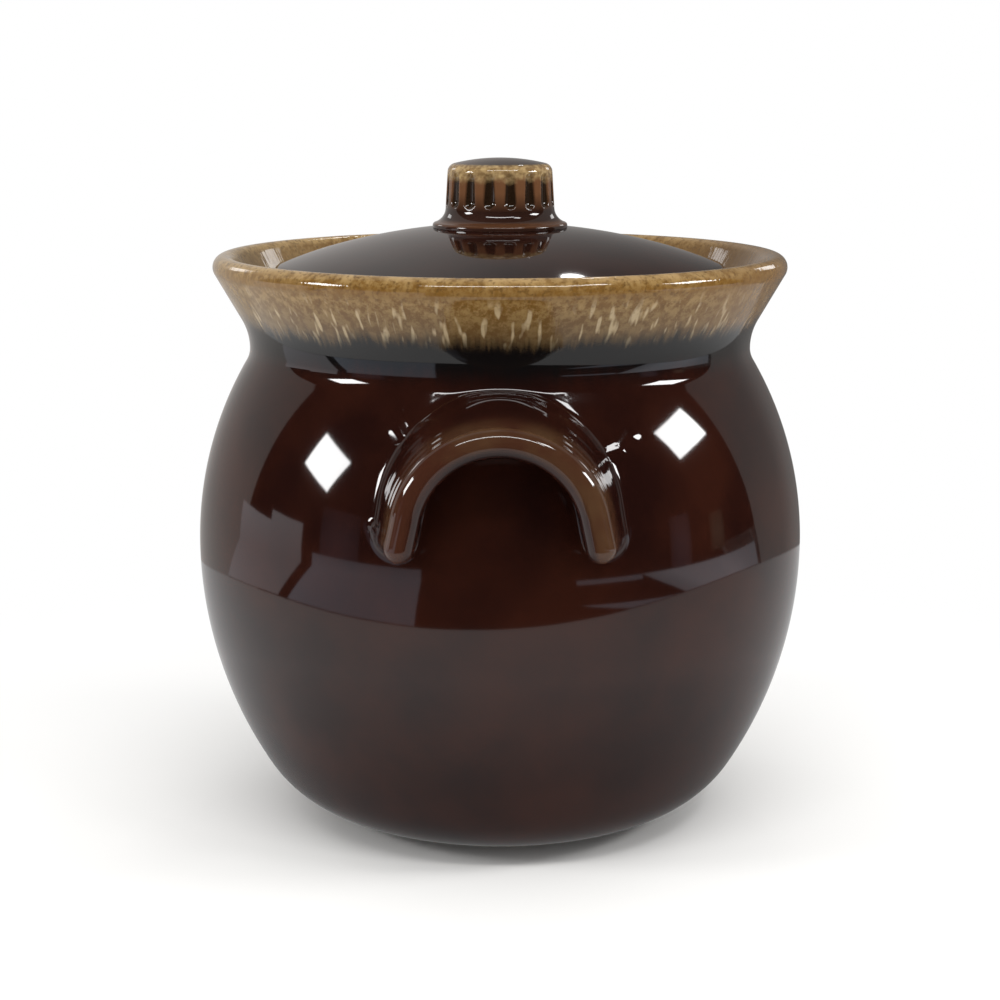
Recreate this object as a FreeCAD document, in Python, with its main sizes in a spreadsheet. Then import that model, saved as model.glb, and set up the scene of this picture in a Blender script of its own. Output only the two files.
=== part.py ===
import FreeCAD, Part
import math
import os
import re
import types
import Sketcher

# A glazed stoneware bean pot: a round body with a flared rim, two horseshoe lugs luted to
# its shoulder, and a loose domed lid with a fluted knob that sits on a ledge in the neck.
#
# Frame: millimetres, +Z up. The origin is the centre of the foot, on the surface that the
# pot stands on. The front lug points along -Y and the rear lug along +Y.

SIZES = {
    # Outside of the pot, from the foot upwards.
    "foot_inset": 46.0,
    "foot_width": 6.5,
    "foot_recess": 1.5,
    "foot_fillet_radius": 1.0,
    "base_arc_radius": 34.5,
    "belly_arc_radius": 121.0,
    "belly_radius": 89.0,
    "belly_height": 82.0,
    "shoulder_arc_radius": 104.5,
    "neck_lower_radius": 8.0,
    "neck_inset": 15.9,
    "neck_upper_radius": 17.5,
    "lip_overhang": 10.2,
    "lip_rise": 26.9,
    "lip_roll_radius": 3.5,
    # Inside of the pot.
    "pot_wall_thickness": 6.5,
    "floor_thickness": 7.5,
    "inner_base_radius": 30.0,
    "neck_wall_thickness": 10.6,
    "throat_fillet_radius": 4.0,
    "ledge_depth": 13.1,
    "ledge_fillet_radius": 1.5,
    # Horseshoe lugs.
    "lug_rise": 20.5,
    "lug_overhang": 12.0,
    "lug_root_depth": 23.0,
    "lug_arch_radius": 24.5,
    "lug_nose_radius": 4.0,
    "lug_leg_length": 8.0,
    "lug_lean_angle": 6.0,
    "lug_draft_angle": 6.0,
    "lug_spread_angle": 78.0,
    # Lid.
    "seat_width": 3.5,
    "lid_side_height": 6.9,
    "lid_dome_radius": 188.0,
    "lid_edge_radius": 3.5,
    "lid_wall_thickness": 5.5,
    "lid_fillet_radius": 1.2,
    "flange_clearance": 1.2,
    "flange_width": 4.0,
    "flange_depth": 7.0,
    "hollow_fillet_radius": 3.0,
    # Knob.
    "knob_height": 19.0,
    "knob_grip_radius": 15.8,
    "knob_foot_spread": 3.8,
    "knob_foot_thickness": 1.4,
    "knob_foot_fillet_radius": 0.8,
    "knob_flare_radius": 4.5,
    "knob_taper": 0.6,
    "knob_roll_radius": 2.6,
    "knob_crown_radius": 57.0,
    "flute_count": 16,
    "flute_radius": 2.2,
    "flute_depth": 1.2,
    "flute_rise": 4.8,
    "flute_drop": 3.4,
}

# Radii, heights and spans that follow from the sizes, each as a formula.
PLACES = {
    "foot_radius": "belly_radius - foot_inset",
    "foot_inner_radius": "foot_radius - foot_width",
    "base_height": "foot_recess + base_arc_radius",
    "base_gap": "belly_arc_radius - base_arc_radius",
    "base_span": "sqrt(base_gap ^ 2 - (belly_height - base_height) ^ 2)",
    "neck_radius": "belly_radius - neck_inset",
    "neck_reach": "shoulder_arc_radius + neck_lower_radius",
    "neck_height": "belly_height + sqrt(neck_reach ^ 2 - (neck_reach - neck_inset) ^ 2)",
    "lip_radius": "neck_radius + lip_overhang",
    "lip_height": "neck_height + lip_rise",
    "ledge_height": "lip_height - ledge_depth",
    "inner_belly_radius": "belly_arc_radius - pot_wall_thickness",
    "inner_shoulder_radius": "shoulder_arc_radius - pot_wall_thickness",
    "throat_radius": "neck_radius - neck_wall_thickness",
    "throat_reach": "shoulder_arc_radius - neck_inset - neck_wall_thickness",
    "throat_foot_height": "belly_height + sqrt(inner_shoulder_radius ^ 2 - throat_reach ^ 2)",
    "floor_height": "foot_recess + floor_thickness",
    "corner_height": "floor_height + inner_base_radius",
    "corner_gap": "inner_belly_radius - inner_base_radius",
    "corner_span": "sqrt(corner_gap ^ 2 - (belly_height - corner_height) ^ 2)",
    "lug_height": "belly_height + lug_rise",
    "lug_reach": "belly_radius + lug_overhang",
    "lug_root": "belly_radius - lug_root_depth",
    "lid_radius": "throat_radius + seat_width",
    "lid_edge_reach": "lid_radius - lid_edge_radius",
    "lid_edge_height": "ledge_height + lid_side_height",
    "lid_edge_gap": "lid_dome_radius - lid_edge_radius",
    "lid_centre_height": "lid_edge_height - sqrt(lid_edge_gap ^ 2 - lid_edge_reach ^ 2)",
    "lid_apex_height": "lid_centre_height + lid_dome_radius",
    "hollow_radius": "lid_dome_radius - lid_wall_thickness",
    "flange_radius": "throat_radius - flange_clearance",
    "flange_inner_radius": "flange_radius - flange_width",
    "flange_foot_height": "ledge_height - flange_depth",
    "flange_head_height": "lid_centre_height + sqrt(hollow_radius ^ 2 - flange_inner_radius ^ 2)",
    "knob_foot_radius": "knob_grip_radius + knob_foot_spread",
    "knob_seat_height": "lid_centre_height + sqrt(lid_dome_radius ^ 2 - knob_foot_radius ^ 2)",
    "knob_rim_height": "knob_seat_height + knob_foot_thickness",
    "knob_flare_reach": "knob_grip_radius + knob_flare_radius",
    "knob_flare_rise": "sqrt(knob_flare_radius ^ 2 - (knob_flare_radius - knob_foot_spread) ^ 2)",
    "knob_roll_reach": "knob_grip_radius - knob_taper - knob_roll_radius",
    "knob_roll_gap": "knob_crown_radius - knob_roll_radius",
    "knob_apex_height": "lid_apex_height + knob_height",
    "knob_crown_height": "knob_apex_height - knob_crown_radius",
    "knob_roll_height": "knob_crown_height + sqrt(knob_roll_gap ^ 2 - knob_roll_reach ^ 2)",
    "flute_reach": "knob_grip_radius - flute_depth + flute_radius",
    "flute_foot_height": "lid_apex_height + flute_rise",
    "flute_head_height": "knob_apex_height - flute_drop",
}

# A sketch's own axes, for turning the plane that it lies in.
ABOUT_ACROSS = FreeCAD.Vector(1, 0, 0)
ABOUT_UP = FreeCAD.Vector(0, 1, 0)

HALF_TURN = 180
FULL_TURN = 360

# Two places closer than this, in millimetres, are the same place.
SAME_PLACE = 0.001

document = FreeCAD.newDocument("BeanPot")


def make_sheet(sizes):
    """Put every driving dimension into one spreadsheet, each cell with an alias."""
    sheet = document.addObject("Spreadsheet::Sheet", "Sizes")
    for row, (alias, value) in enumerate(sizes.items(), start=1):
        sheet.set(f"A{row}", alias)
        sheet.set(f"B{row}", str(value))
        sheet.setAlias(f"B{row}", alias)
    document.recompute()
    return sheet


def formula(text):
    """Write a formula of sizes and places out in the sheet's cells."""

    def spell(word):
        """The cell that holds a size, or the formula of a place."""
        name = word[0]
        return f"({formula(PLACES[name])})" if name in PLACES else f"Sizes.{name}"

    return re.sub(r"[a-z]+_[a-z_]+", spell, text)


def measure(item, text):
    """The value of a formula, as an object of the document works it out."""
    value = item.evalExpression(formula(text))
    return float(getattr(value, "Value", value))


sheet = make_sheet(SIZES)
dim = types.SimpleNamespace(**{name: measure(sheet, name) for name in (*SIZES, *PLACES)})


def follow(item, setting, text):
    """Tie one setting of an object to a formula of sizes and places."""
    item.setExpression(setting, formula(text))


def polar(centre, radius, angle):
    """The point of a circle at an angle in radians."""
    return (centre[0] + radius * math.cos(angle), centre[1] + radius * math.sin(angle))


def heading(start, end):
    """The angle, in radians, of the way from one point to another."""
    return math.atan2(end[1] - start[1], end[0] - start[0])


def tangent_heading(lower, lower_radius, upper, upper_radius):
    """The heading of a line that passes left of the lower circle and right of the upper one."""
    return heading(lower, upper) - math.asin((lower_radius + upper_radius) / math.dist(lower, upper))


def origin_plane(body, role):
    """One of a body's own origin planes."""
    return next(plane for plane in body.Origin.OriginFeatures if plane.Role == role)


class Outline:
    """A sketch drawn as a chain of lines and arcs, each joined to the one before it."""

    # How a constraint names the sketch's origin, its two axes and the centre of an arc.
    ORIGIN = (-1, 1)
    AXIS_ACROSS = -1
    AXIS_UP = -2
    CENTRE = 3

    def __init__(self, body, name, role):
        self.sketch = body.newObject("Sketcher::SketchObject", name)
        self.sketch.AttachmentSupport = [(origin_plane(body, role), "")]
        self.sketch.MapMode = "FlatFace"
        self.chain = []

    def line(self, start, end, smooth=False):
        """Add a straight edge. A smooth edge is tangent to the one before it."""
        points = [FreeCAD.Vector(*point, 0) for point in (start, end)]
        edge = self.sketch.addGeometry(Part.LineSegment(*points), False)
        self.chain.append((edge, 1, 2, smooth))
        return edge

    def arc(self, centre, radius, first, last, smooth=True):
        """Add an arc between two angles in radians, drawn in the order given."""
        circle = Part.Circle(FreeCAD.Vector(*centre, 0), FreeCAD.Vector(0, 0, 1), radius)
        low, high = sorted((first, last))
        edge = self.sketch.addGeometry(Part.ArcOfCircle(circle, low, high), False)
        self.chain.append((edge, 1, 2, smooth) if last > first else (edge, 2, 1, smooth))
        return edge

    def join(self, closed=True):
        """Tie each edge's start to the end of the edge before it."""
        for index, (edge, start, _, smooth) in enumerate(self.chain):
            if index or closed:
                before, _, end, _ = self.chain[index - 1]
                self.rule("Tangent" if smooth else "Coincident", before, end, edge, start)

    def start(self, edge):
        """The start of an edge, in the order drawn, for use in a constraint."""
        return next((item[0], item[1]) for item in self.chain if item[0] == edge)

    def end(self, edge):
        """The end of an edge, in the order drawn, for use in a constraint."""
        return next((item[0], item[2]) for item in self.chain if item[0] == edge)

    def centre(self, edge):
        """The centre of an arc, for use in a constraint."""
        return (edge, self.CENTRE)

    def rule(self, kind, *references):
        """Add a constraint that has no number."""
        self.sketch.addConstraint(Sketcher.Constraint(kind, *references))

    def level(self, *edges):
        """Keep straight edges level."""
        for edge in edges:
            self.rule("Horizontal", edge)

    def upright(self, *edges):
        """Keep straight edges upright."""
        for edge in edges:
            self.rule("Vertical", edge)

    def on_axis(self, *points):
        """Keep points on the sketch's upright axis."""
        for point in points:
            self.rule("PointOnObject", *point, self.AXIS_UP)

    def bind(self, kind, *references, to):
        """Add a dimension that follows a formula of sizes and places."""
        value = measure(self.sketch, to)
        if kind == "Angle":
            value = math.radians(value)
        index = self.sketch.addConstraint(Sketcher.Constraint(kind, *references, value))
        follow(self.sketch, f"Constraints[{index}]", to)

    def place(self, point, across=None, up=None):
        """Fix a point's distances from the sketch's origin."""
        for kind, text in (("DistanceX", across), ("DistanceY", up)):
            if text:
                self.bind(kind, *self.ORIGIN, *point, to=text)


def pot_centres():
    """The centres of the arcs of the pot's outside, each arc tangent to the next."""
    belly_reach = dim.belly_radius - dim.belly_arc_radius
    return types.SimpleNamespace(
        base=(belly_reach + dim.base_span, dim.base_height),
        belly=(belly_reach, dim.belly_height),
        shoulder=(dim.belly_radius - dim.shoulder_arc_radius, dim.belly_height),
        neck_lower=(dim.neck_radius + dim.neck_lower_radius, dim.neck_height),
        neck_upper=(dim.neck_radius + dim.neck_upper_radius, dim.neck_height),
        lip=(dim.lip_radius - dim.lip_roll_radius, dim.lip_height - dim.lip_roll_radius),
    )


def draw_wall(outline, at, smooth):
    """Draw the pot's outer curve from the base up to the lip, as the pot and its lugs share it."""
    low = heading(at.belly, at.base)
    high = heading(at.shoulder, at.neck_lower)
    flare = tangent_heading(at.neck_upper, dim.neck_upper_radius, at.lip, dim.lip_roll_radius)
    left, right = flare + math.pi / 2, flare - math.pi / 2
    belly = outline.arc(at.belly, dim.belly_arc_radius, low, 0, smooth=smooth)
    shoulder = outline.arc(at.shoulder, dim.shoulder_arc_radius, 0, high)
    neck_lower = outline.arc(at.neck_lower, dim.neck_lower_radius, high + math.pi, math.pi)
    neck_upper = outline.arc(at.neck_upper, dim.neck_upper_radius, math.pi, left)
    flare_foot = polar(at.neck_upper, dim.neck_upper_radius, left)
    flare_outer = outline.line(flare_foot, polar(at.lip, dim.lip_roll_radius, right), smooth=True)
    lip = outline.arc(at.lip, dim.lip_roll_radius, right, left)

    outline.bind("Radius", belly, to="belly_arc_radius")
    outline.bind("Radius", shoulder, to="shoulder_arc_radius")
    outline.bind("Radius", neck_lower, to="neck_lower_radius")
    outline.bind("Radius", neck_upper, to="neck_upper_radius")
    outline.bind("Radius", lip, to="lip_roll_radius")
    outline.place(outline.start(shoulder), "belly_radius", "belly_height")
    outline.place(outline.end(neck_lower), "neck_radius")
    outline.place(outline.centre(lip), "lip_radius - lip_roll_radius", "lip_height - lip_roll_radius")
    outline.rule("Horizontal", *outline.start(shoulder), *outline.centre(shoulder))
    outline.rule("Horizontal", *outline.end(neck_lower), *outline.centre(neck_lower))
    return types.SimpleNamespace(shoulder=shoulder, flare=flare_outer, lip=lip, slope=flare)


def draw_pot_section(body):
    """Draw the section that the pot's body is turned from."""
    at = pot_centres()
    outline = Outline(body, "PotSection", "XZ_Plane")
    foot_out = dim.foot_radius - at.base[0]
    foot_top = at.base[1] - math.sqrt(dim.base_arc_radius ** 2 - foot_out ** 2)
    standing = outline.line((dim.foot_inner_radius, 0), (dim.foot_radius, 0))
    foot_side = outline.line((dim.foot_radius, 0), (dim.foot_radius, foot_top))
    foot_turn = heading(at.base, (dim.foot_radius, foot_top))
    low = heading(at.belly, at.base)
    base = outline.arc(at.base, dim.base_arc_radius, foot_turn, low, smooth=False)
    wall = draw_wall(outline, at, smooth=True)

    flare_top = polar(at.lip, dim.lip_roll_radius, wall.slope + math.pi / 2)
    drop = (flare_top[1] - dim.ledge_height) / math.tan(wall.slope)
    ledge_edge = (flare_top[0] - drop, dim.ledge_height)
    throat_foot = (dim.throat_radius, dim.throat_foot_height)
    flare_inner = outline.line(flare_top, ledge_edge, smooth=True)
    ledge = outline.line(ledge_edge, (dim.throat_radius, dim.ledge_height))
    throat = outline.line((dim.throat_radius, dim.ledge_height), throat_foot)
    throat_turn = heading(at.shoulder, throat_foot)
    inner_shoulder = outline.arc(at.shoulder, dim.inner_shoulder_radius, throat_turn, 0, smooth=False)

    corner = (at.belly[0] + dim.corner_span, dim.corner_height)
    inner_low = heading(at.belly, corner)
    inner_belly = outline.arc(at.belly, dim.inner_belly_radius, 0, inner_low)
    inner_base = outline.arc(corner, dim.inner_base_radius, inner_low, -math.pi / 2)
    floor = outline.line((corner[0], dim.floor_height), (0, dim.floor_height), smooth=True)
    axis = outline.line((0, dim.floor_height), (0, dim.foot_recess))
    underside = outline.line((0, dim.foot_recess), (dim.foot_inner_radius, dim.foot_recess))
    recess_side = outline.line((dim.foot_inner_radius, dim.foot_recess), (dim.foot_inner_radius, 0))
    outline.join()

    outline.level(standing, ledge, floor, underside)
    outline.upright(foot_side, throat, recess_side)
    outline.on_axis(outline.start(axis), outline.end(axis))
    outline.rule("PointOnObject", *outline.start(standing), Outline.AXIS_ACROSS)
    outline.rule("Parallel", wall.flare, flare_inner)
    outline.rule("Coincident", *outline.centre(inner_shoulder), *outline.centre(wall.shoulder))
    outline.rule("Horizontal", *outline.start(inner_belly), *outline.centre(wall.shoulder))
    outline.place(outline.end(standing), "foot_radius")
    outline.place(outline.start(standing), "foot_inner_radius")
    outline.place(outline.start(underside), None, "foot_recess")
    outline.place(outline.centre(base), None, "base_height")
    outline.place(outline.start(throat), "throat_radius", "ledge_height")
    outline.place(outline.start(floor), None, "floor_height")
    outline.bind("Radius", base, to="base_arc_radius")
    outline.bind("Radius", inner_shoulder, to="inner_shoulder_radius")
    outline.bind("Radius", inner_belly, to="inner_belly_radius")
    outline.bind("Radius", inner_base, to="inner_base_radius")
    return outline.sketch


def turn(body, name, sketch):
    """Turn a section about the object's upright axis."""
    solid = body.newObject("PartDesign::Revolution", name)
    solid.Profile = sketch
    solid.ReferenceAxis = (sketch, ["V_Axis"])
    solid.Angle = FULL_TURN
    return solid


def rounded(body, name, base, radius, places):
    """Round the circular edges of a turned solid at the given radii and heights."""
    document.recompute()
    edges = []
    for number, edge in enumerate(base.Shape.Edges, start=1):
        corner = edge.Vertexes[0].Point
        ring = (math.hypot(corner.x, corner.y), corner.z)
        closed = len(edge.Vertexes) == 1
        if closed and any(math.dist(ring, place) < SAME_PLACE for place in places):
            edges.append(f"Edge{number}")
    fillet = body.newObject("PartDesign::Fillet", name)
    fillet.Base = (base, edges)
    follow(fillet, "Radius", radius)
    return fillet


def make_pot_body():
    """The pot: one turned section with its seat, foot and throat rounded."""
    body = document.addObject("PartDesign::Body", "PotBody")
    body.Label = "pot_body"
    solid = turn(body, "PotTurned", draw_pot_section(body))
    ledge = [(dim.throat_radius, dim.ledge_height)]
    solid = rounded(body, "LedgeRounded", solid, "ledge_fillet_radius", ledge)
    throat_foot = [(dim.throat_radius, dim.throat_foot_height)]
    solid = rounded(body, "ThroatRounded", solid, "throat_fillet_radius", throat_foot)
    foot = [(dim.foot_radius, 0), (dim.foot_inner_radius, 0)]
    rounded(body, "FootRounded", solid, "foot_fillet_radius", foot)
    return body


def lug_points():
    """Places on the lug's section, measured from the centre of its arch.

    The section is a tongue that thickens from its round nose towards the pot.
    """
    nose = (dim.lug_nose_radius - dim.lug_reach, dim.lug_arch_radius)
    lean = math.radians(dim.lug_lean_angle)
    draft = math.radians(dim.lug_draft_angle)
    outer = polar(nose, dim.lug_nose_radius, lean + draft + math.pi / 2)
    inner = polar(nose, dim.lug_nose_radius, lean - draft - math.pi / 2)

    def root(start, angle):
        """Where a line that rises at an angle meets the root."""
        return (-dim.lug_root, start[1] - (dim.lug_root + start[0]) * math.tan(angle))

    return types.SimpleNamespace(
        nose=nose,
        tip=polar(nose, dim.lug_nose_radius, lean + math.pi),
        outer=outer,
        inner=inner,
        outer_root=root(outer, lean + draft),
        middle_root=root(nose, lean),
        inner_root=root(inner, lean - draft),
    )


def bind_tongue(outline, outer, nose, root):
    """Give a lug section its nose, its outer edge and its root."""
    outline.upright(root)
    outline.bind("Radius", nose, to="lug_nose_radius")
    outline.place(outline.centre(nose), "lug_nose_radius - lug_reach", "lug_arch_radius")
    outline.place(outline.start(root), "-lug_root")
    outline.bind("Angle", outer, to="lug_lean_angle + lug_draft_angle")


def draw_lug_section(body):
    """Draw the lug's whole section at the top of its arch."""
    outline = Outline(body, "LugSection", "YZ_Plane")
    at = lug_points()
    inner = outline.line(at.inner_root, at.inner)
    low, high = heading(at.nose, at.inner), heading(at.nose, at.outer)
    nose = outline.arc(at.nose, dim.lug_nose_radius, low, high - 2 * math.pi)
    outer = outline.line(at.outer, at.outer_root, smooth=True)
    root = outline.line(at.outer_root, at.inner_root)
    outline.join()
    bind_tongue(outline, outer, nose, root)
    outline.bind("Angle", inner, to=f"lug_lean_angle - lug_draft_angle - {HALF_TURN}")
    follow(outline.sketch, "AttachmentOffset.Base.y", "lug_height")
    return outline.sketch


def draw_lug_path(body):
    """Draw half of the horseshoe that the lug's section follows."""
    outline = Outline(body, "LugPath", "XZ_Plane")
    spread = math.radians(dim.lug_spread_angle)
    arch = outline.arc((0, 0), dim.lug_arch_radius, math.pi / 2, math.pi / 2 - spread)
    leg_top = polar((0, 0), dim.lug_arch_radius, math.pi / 2 - spread)
    leg = outline.line(leg_top, polar(leg_top, dim.lug_leg_length, -spread), smooth=True)
    outline.join(closed=False)
    outline.rule("Coincident", *outline.centre(arch), *Outline.ORIGIN)
    outline.on_axis(outline.start(arch))
    outline.bind("Radius", arch, to="lug_arch_radius")
    outline.bind("Distance", leg, to="lug_leg_length")
    outline.bind("Angle", leg, to="-lug_spread_angle")
    follow(outline.sketch, "AttachmentOffset.Base.y", "lug_height")
    return outline.sketch


def draw_toe_section(body):
    """Draw the outer half of the lug's section across the end of one leg."""
    outline = Outline(body, "ToeSection", "YZ_Plane")
    at = lug_points()
    middle = outline.line(at.middle_root, at.tip)
    low, high = heading(at.nose, at.tip) % (2 * math.pi), heading(at.nose, at.outer)
    nose = outline.arc(at.nose, dim.lug_nose_radius, low, high, smooth=False)
    outer = outline.line(at.outer, at.outer_root, smooth=True)
    root = outline.line(at.outer_root, at.middle_root)
    outline.join()
    bind_tongue(outline, outer, nose, root)
    outline.rule("PointOnObject", *outline.centre(nose), middle)
    outline.bind("Angle", middle, to=f"lug_lean_angle - {HALF_TURN}")
    sketch = outline.sketch
    sketch.AttachmentOffset = FreeCAD.Placement(FreeCAD.Vector(), FreeCAD.Rotation(ABOUT_ACROSS, 1))
    follow(sketch, "AttachmentOffset.Rotation.Angle", "lug_spread_angle")
    leg_drop = "lug_leg_length * sin(lug_spread_angle * 1deg)"
    follow(sketch, "AttachmentOffset.Base.y", f"lug_height - {leg_drop}")
    follow(sketch, "AttachmentOffset.Base.z", "lug_leg_length * cos(lug_spread_angle * 1deg)")
    return sketch, f"Edge{middle + 1}"


def draw_pot_outside(body):
    """Draw the room that the pot takes up behind a lug."""
    outline = Outline(body, "PotOutside", "XZ_Plane")
    at = pot_centres()
    bottom = polar(at.belly, dim.belly_arc_radius, heading(at.belly, at.base))
    under = outline.line((0, bottom[1]), bottom)
    wall = draw_wall(outline, at, smooth=False)
    top = (at.lip[0], dim.lip_height)
    over = outline.line(top, (0, top[1]))
    middle = outline.line((0, top[1]), (0, bottom[1]))
    outline.join()
    outline.level(under, over)
    outline.on_axis(outline.start(middle), outline.end(middle))
    outline.place(outline.start(under), None, "base_height")
    outline.rule("Vertical", *outline.centre(wall.lip), *outline.start(over))
    return outline.sketch


def make_lug(name, label, turned):
    """A horseshoe lug, open below, that lies against the pot's shoulder."""
    body = document.addObject("PartDesign::Body", name)
    body.Label = label
    arch = body.newObject("PartDesign::AdditivePipe", f"{name}Arch")
    arch.Profile = draw_lug_section(body)
    arch.Spine = draw_lug_path(body)
    sketch, middle = draw_toe_section(body)
    toe = body.newObject("PartDesign::Revolution", f"{name}Toe")
    toe.Profile = sketch
    toe.ReferenceAxis = (sketch, [middle])
    toe.Angle = HALF_TURN
    toe.Reversed = True
    halves = body.newObject("PartDesign::Mirrored", f"{name}Halves")
    halves.Originals = [arch, toe]
    halves.MirrorPlane = (origin_plane(body, "YZ_Plane"), [""])
    body.Tip = halves
    seat = body.newObject("PartDesign::Groove", f"{name}Seat")
    seat.Profile = draw_pot_outside(body)
    seat.ReferenceAxis = (seat.Profile[0], ["V_Axis"])
    seat.Angle = FULL_TURN
    body.Placement = FreeCAD.Placement(FreeCAD.Vector(), FreeCAD.Rotation(FreeCAD.Vector(0, 0, 1), turned))
    return body


def draw_lid_section(body):
    """Draw the section that the lid is turned from, as it lies on the pot's ledge."""
    outline = Outline(body, "LidSection", "XZ_Plane")
    centre = (0, dim.lid_centre_height)
    edge_centre = (dim.lid_edge_reach, dim.lid_edge_height)
    seat_edge = (dim.lid_radius, dim.ledge_height)
    flange_top = (dim.flange_radius, dim.ledge_height)
    flange_outer = (dim.flange_radius, dim.flange_foot_height)
    flange_inner = (dim.flange_inner_radius, dim.flange_foot_height)
    flange_head = (dim.flange_inner_radius, dim.flange_head_height)
    shoulder = heading(centre, edge_centre)
    brink = heading(centre, flange_head)

    dome = outline.arc(centre, dim.lid_dome_radius, math.pi / 2, shoulder, smooth=False)
    edge = outline.arc(edge_centre, dim.lid_edge_radius, shoulder, 0)
    side = outline.line((dim.lid_radius, dim.lid_edge_height), seat_edge, smooth=True)
    seat = outline.line(seat_edge, flange_top)
    flange_side = outline.line(flange_top, flange_outer)
    flange_end = outline.line(flange_outer, flange_inner)
    flange_back = outline.line(flange_inner, flange_head)
    hollow = outline.arc(centre, dim.hollow_radius, brink, math.pi / 2, smooth=False)
    axis = outline.line((0, dim.lid_centre_height + dim.hollow_radius), (0, dim.lid_apex_height))
    outline.join()

    outline.level(seat, flange_end)
    outline.upright(side, flange_side, flange_back)
    outline.on_axis(outline.start(axis), outline.centre(dome))
    outline.rule("Coincident", *outline.centre(hollow), *outline.centre(dome))
    outline.rule("PointOnObject", *outline.end(axis), Outline.AXIS_UP)
    outline.place(outline.end(axis), None, "lid_apex_height")
    outline.place(outline.start(seat), "lid_radius", "ledge_height")
    outline.place(outline.start(flange_side), "flange_radius")
    outline.place(outline.start(flange_end), None, "flange_foot_height")
    outline.place(outline.end(flange_end), "flange_inner_radius")
    outline.bind("Radius", dome, to="lid_dome_radius")
    outline.bind("Radius", edge, to="lid_edge_radius")
    outline.bind("Radius", hollow, to="hollow_radius")
    return outline.sketch


def make_lid():
    """The lid: a shallow dome with a flat seat and a flange that hangs in the throat."""
    body = document.addObject("PartDesign::Body", "Lid")
    body.Label = "lid_dome"
    solid = turn(body, "LidTurned", draw_lid_section(body))
    edges = [
        (dim.lid_radius, dim.ledge_height),
        (dim.flange_radius, dim.flange_foot_height),
        (dim.flange_inner_radius, dim.flange_foot_height),
    ]
    solid = rounded(body, "LidEdgesRounded", solid, "lid_fillet_radius", edges)
    flange_head = [(dim.flange_inner_radius, dim.flange_head_height)]
    rounded(body, "HollowRounded", solid, "hollow_fillet_radius", flange_head)
    return body


def draw_knob_section(body):
    """Draw the section that the knob is turned from, with its foot on the lid's dome."""
    outline = Outline(body, "KnobSection", "XZ_Plane")
    dome_centre = (0, dim.lid_centre_height)
    crown_centre = (0, dim.knob_crown_height)
    foot = (dim.knob_foot_radius, dim.knob_seat_height)
    rim = (dim.knob_foot_radius, dim.knob_rim_height)
    flare_centre = (dim.knob_flare_reach, dim.knob_rim_height + dim.knob_flare_rise)
    roll_centre = (dim.knob_roll_reach, dim.knob_roll_height)
    grip = tangent_heading(flare_centre, dim.knob_flare_radius, roll_centre, dim.knob_roll_radius)
    left, right = grip + math.pi / 2, grip - math.pi / 2
    flare_low = heading(flare_centre, rim) % (2 * math.pi)
    grip_foot = polar(flare_centre, dim.knob_flare_radius, left)
    grip_top = polar(roll_centre, dim.knob_roll_radius, right)
    crown_edge = heading(crown_centre, roll_centre)
    seat_edge = heading(dome_centre, foot)

    seat = outline.arc(dome_centre, dim.lid_dome_radius, math.pi / 2, seat_edge, smooth=False)
    foot_side = outline.line(foot, rim)
    flare = outline.arc(flare_centre, dim.knob_flare_radius, flare_low, left, smooth=False)
    outline.line(grip_foot, grip_top, smooth=True)
    roll = outline.arc(roll_centre, dim.knob_roll_radius, right, crown_edge)
    crown = outline.arc(crown_centre, dim.knob_crown_radius, crown_edge, math.pi / 2)
    axis = outline.line((0, dim.knob_apex_height), (0, dim.lid_apex_height))
    outline.join()

    outline.upright(foot_side)
    outline.on_axis(outline.start(axis), outline.end(axis), outline.centre(seat), outline.centre(crown))
    outline.place(outline.end(axis), None, "lid_apex_height")
    outline.place(outline.start(axis), None, "knob_apex_height")
    outline.place(outline.start(foot_side), "knob_foot_radius")
    outline.place(outline.end(foot_side), None, "knob_rim_height")
    outline.place(outline.centre(flare), "knob_flare_reach")
    outline.place(outline.centre(roll), "knob_roll_reach")
    outline.bind("Radius", seat, to="lid_dome_radius")
    outline.bind("Radius", flare, to="knob_flare_radius")
    outline.bind("Radius", roll, to="knob_roll_radius")
    outline.bind("Radius", crown, to="knob_crown_radius")
    return outline.sketch


def draw_flute(body):
    """Draw half of the ball-ended rod that one flute of the grip is cut with."""
    outline = Outline(body, "FluteSection", "XZ_Plane")
    foot = (dim.flute_reach, dim.flute_foot_height)
    head = (dim.flute_reach, dim.flute_head_height)
    low_centre = (dim.flute_reach, dim.flute_foot_height + dim.flute_radius)
    high_centre = (dim.flute_reach, dim.flute_head_height - dim.flute_radius)
    outer = dim.flute_reach + dim.flute_radius
    low = outline.arc(low_centre, dim.flute_radius, -math.pi / 2, 0, smooth=False)
    side = outline.line((outer, low_centre[1]), (outer, high_centre[1]), smooth=True)
    high = outline.arc(high_centre, dim.flute_radius, 0, math.pi / 2)
    middle = outline.line(head, foot)
    outline.join()
    outline.upright(side, middle)
    outline.rule("PointOnObject", *outline.centre(low), middle)
    outline.rule("PointOnObject", *outline.centre(high), middle)
    outline.bind("Radius", low, to="flute_radius")
    outline.place(outline.end(middle), "flute_reach", "flute_foot_height")
    outline.place(outline.start(middle), None, "flute_head_height")
    # Half a pitch round from the sketch's plane, so that a ridge faces the front.
    sketch = outline.sketch
    sketch.AttachmentOffset = FreeCAD.Placement(FreeCAD.Vector(), FreeCAD.Rotation(ABOUT_UP, 1))
    follow(sketch, "AttachmentOffset.Rotation.Angle", f"{HALF_TURN} / flute_count")
    return sketch, f"Edge{middle + 1}"


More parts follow.
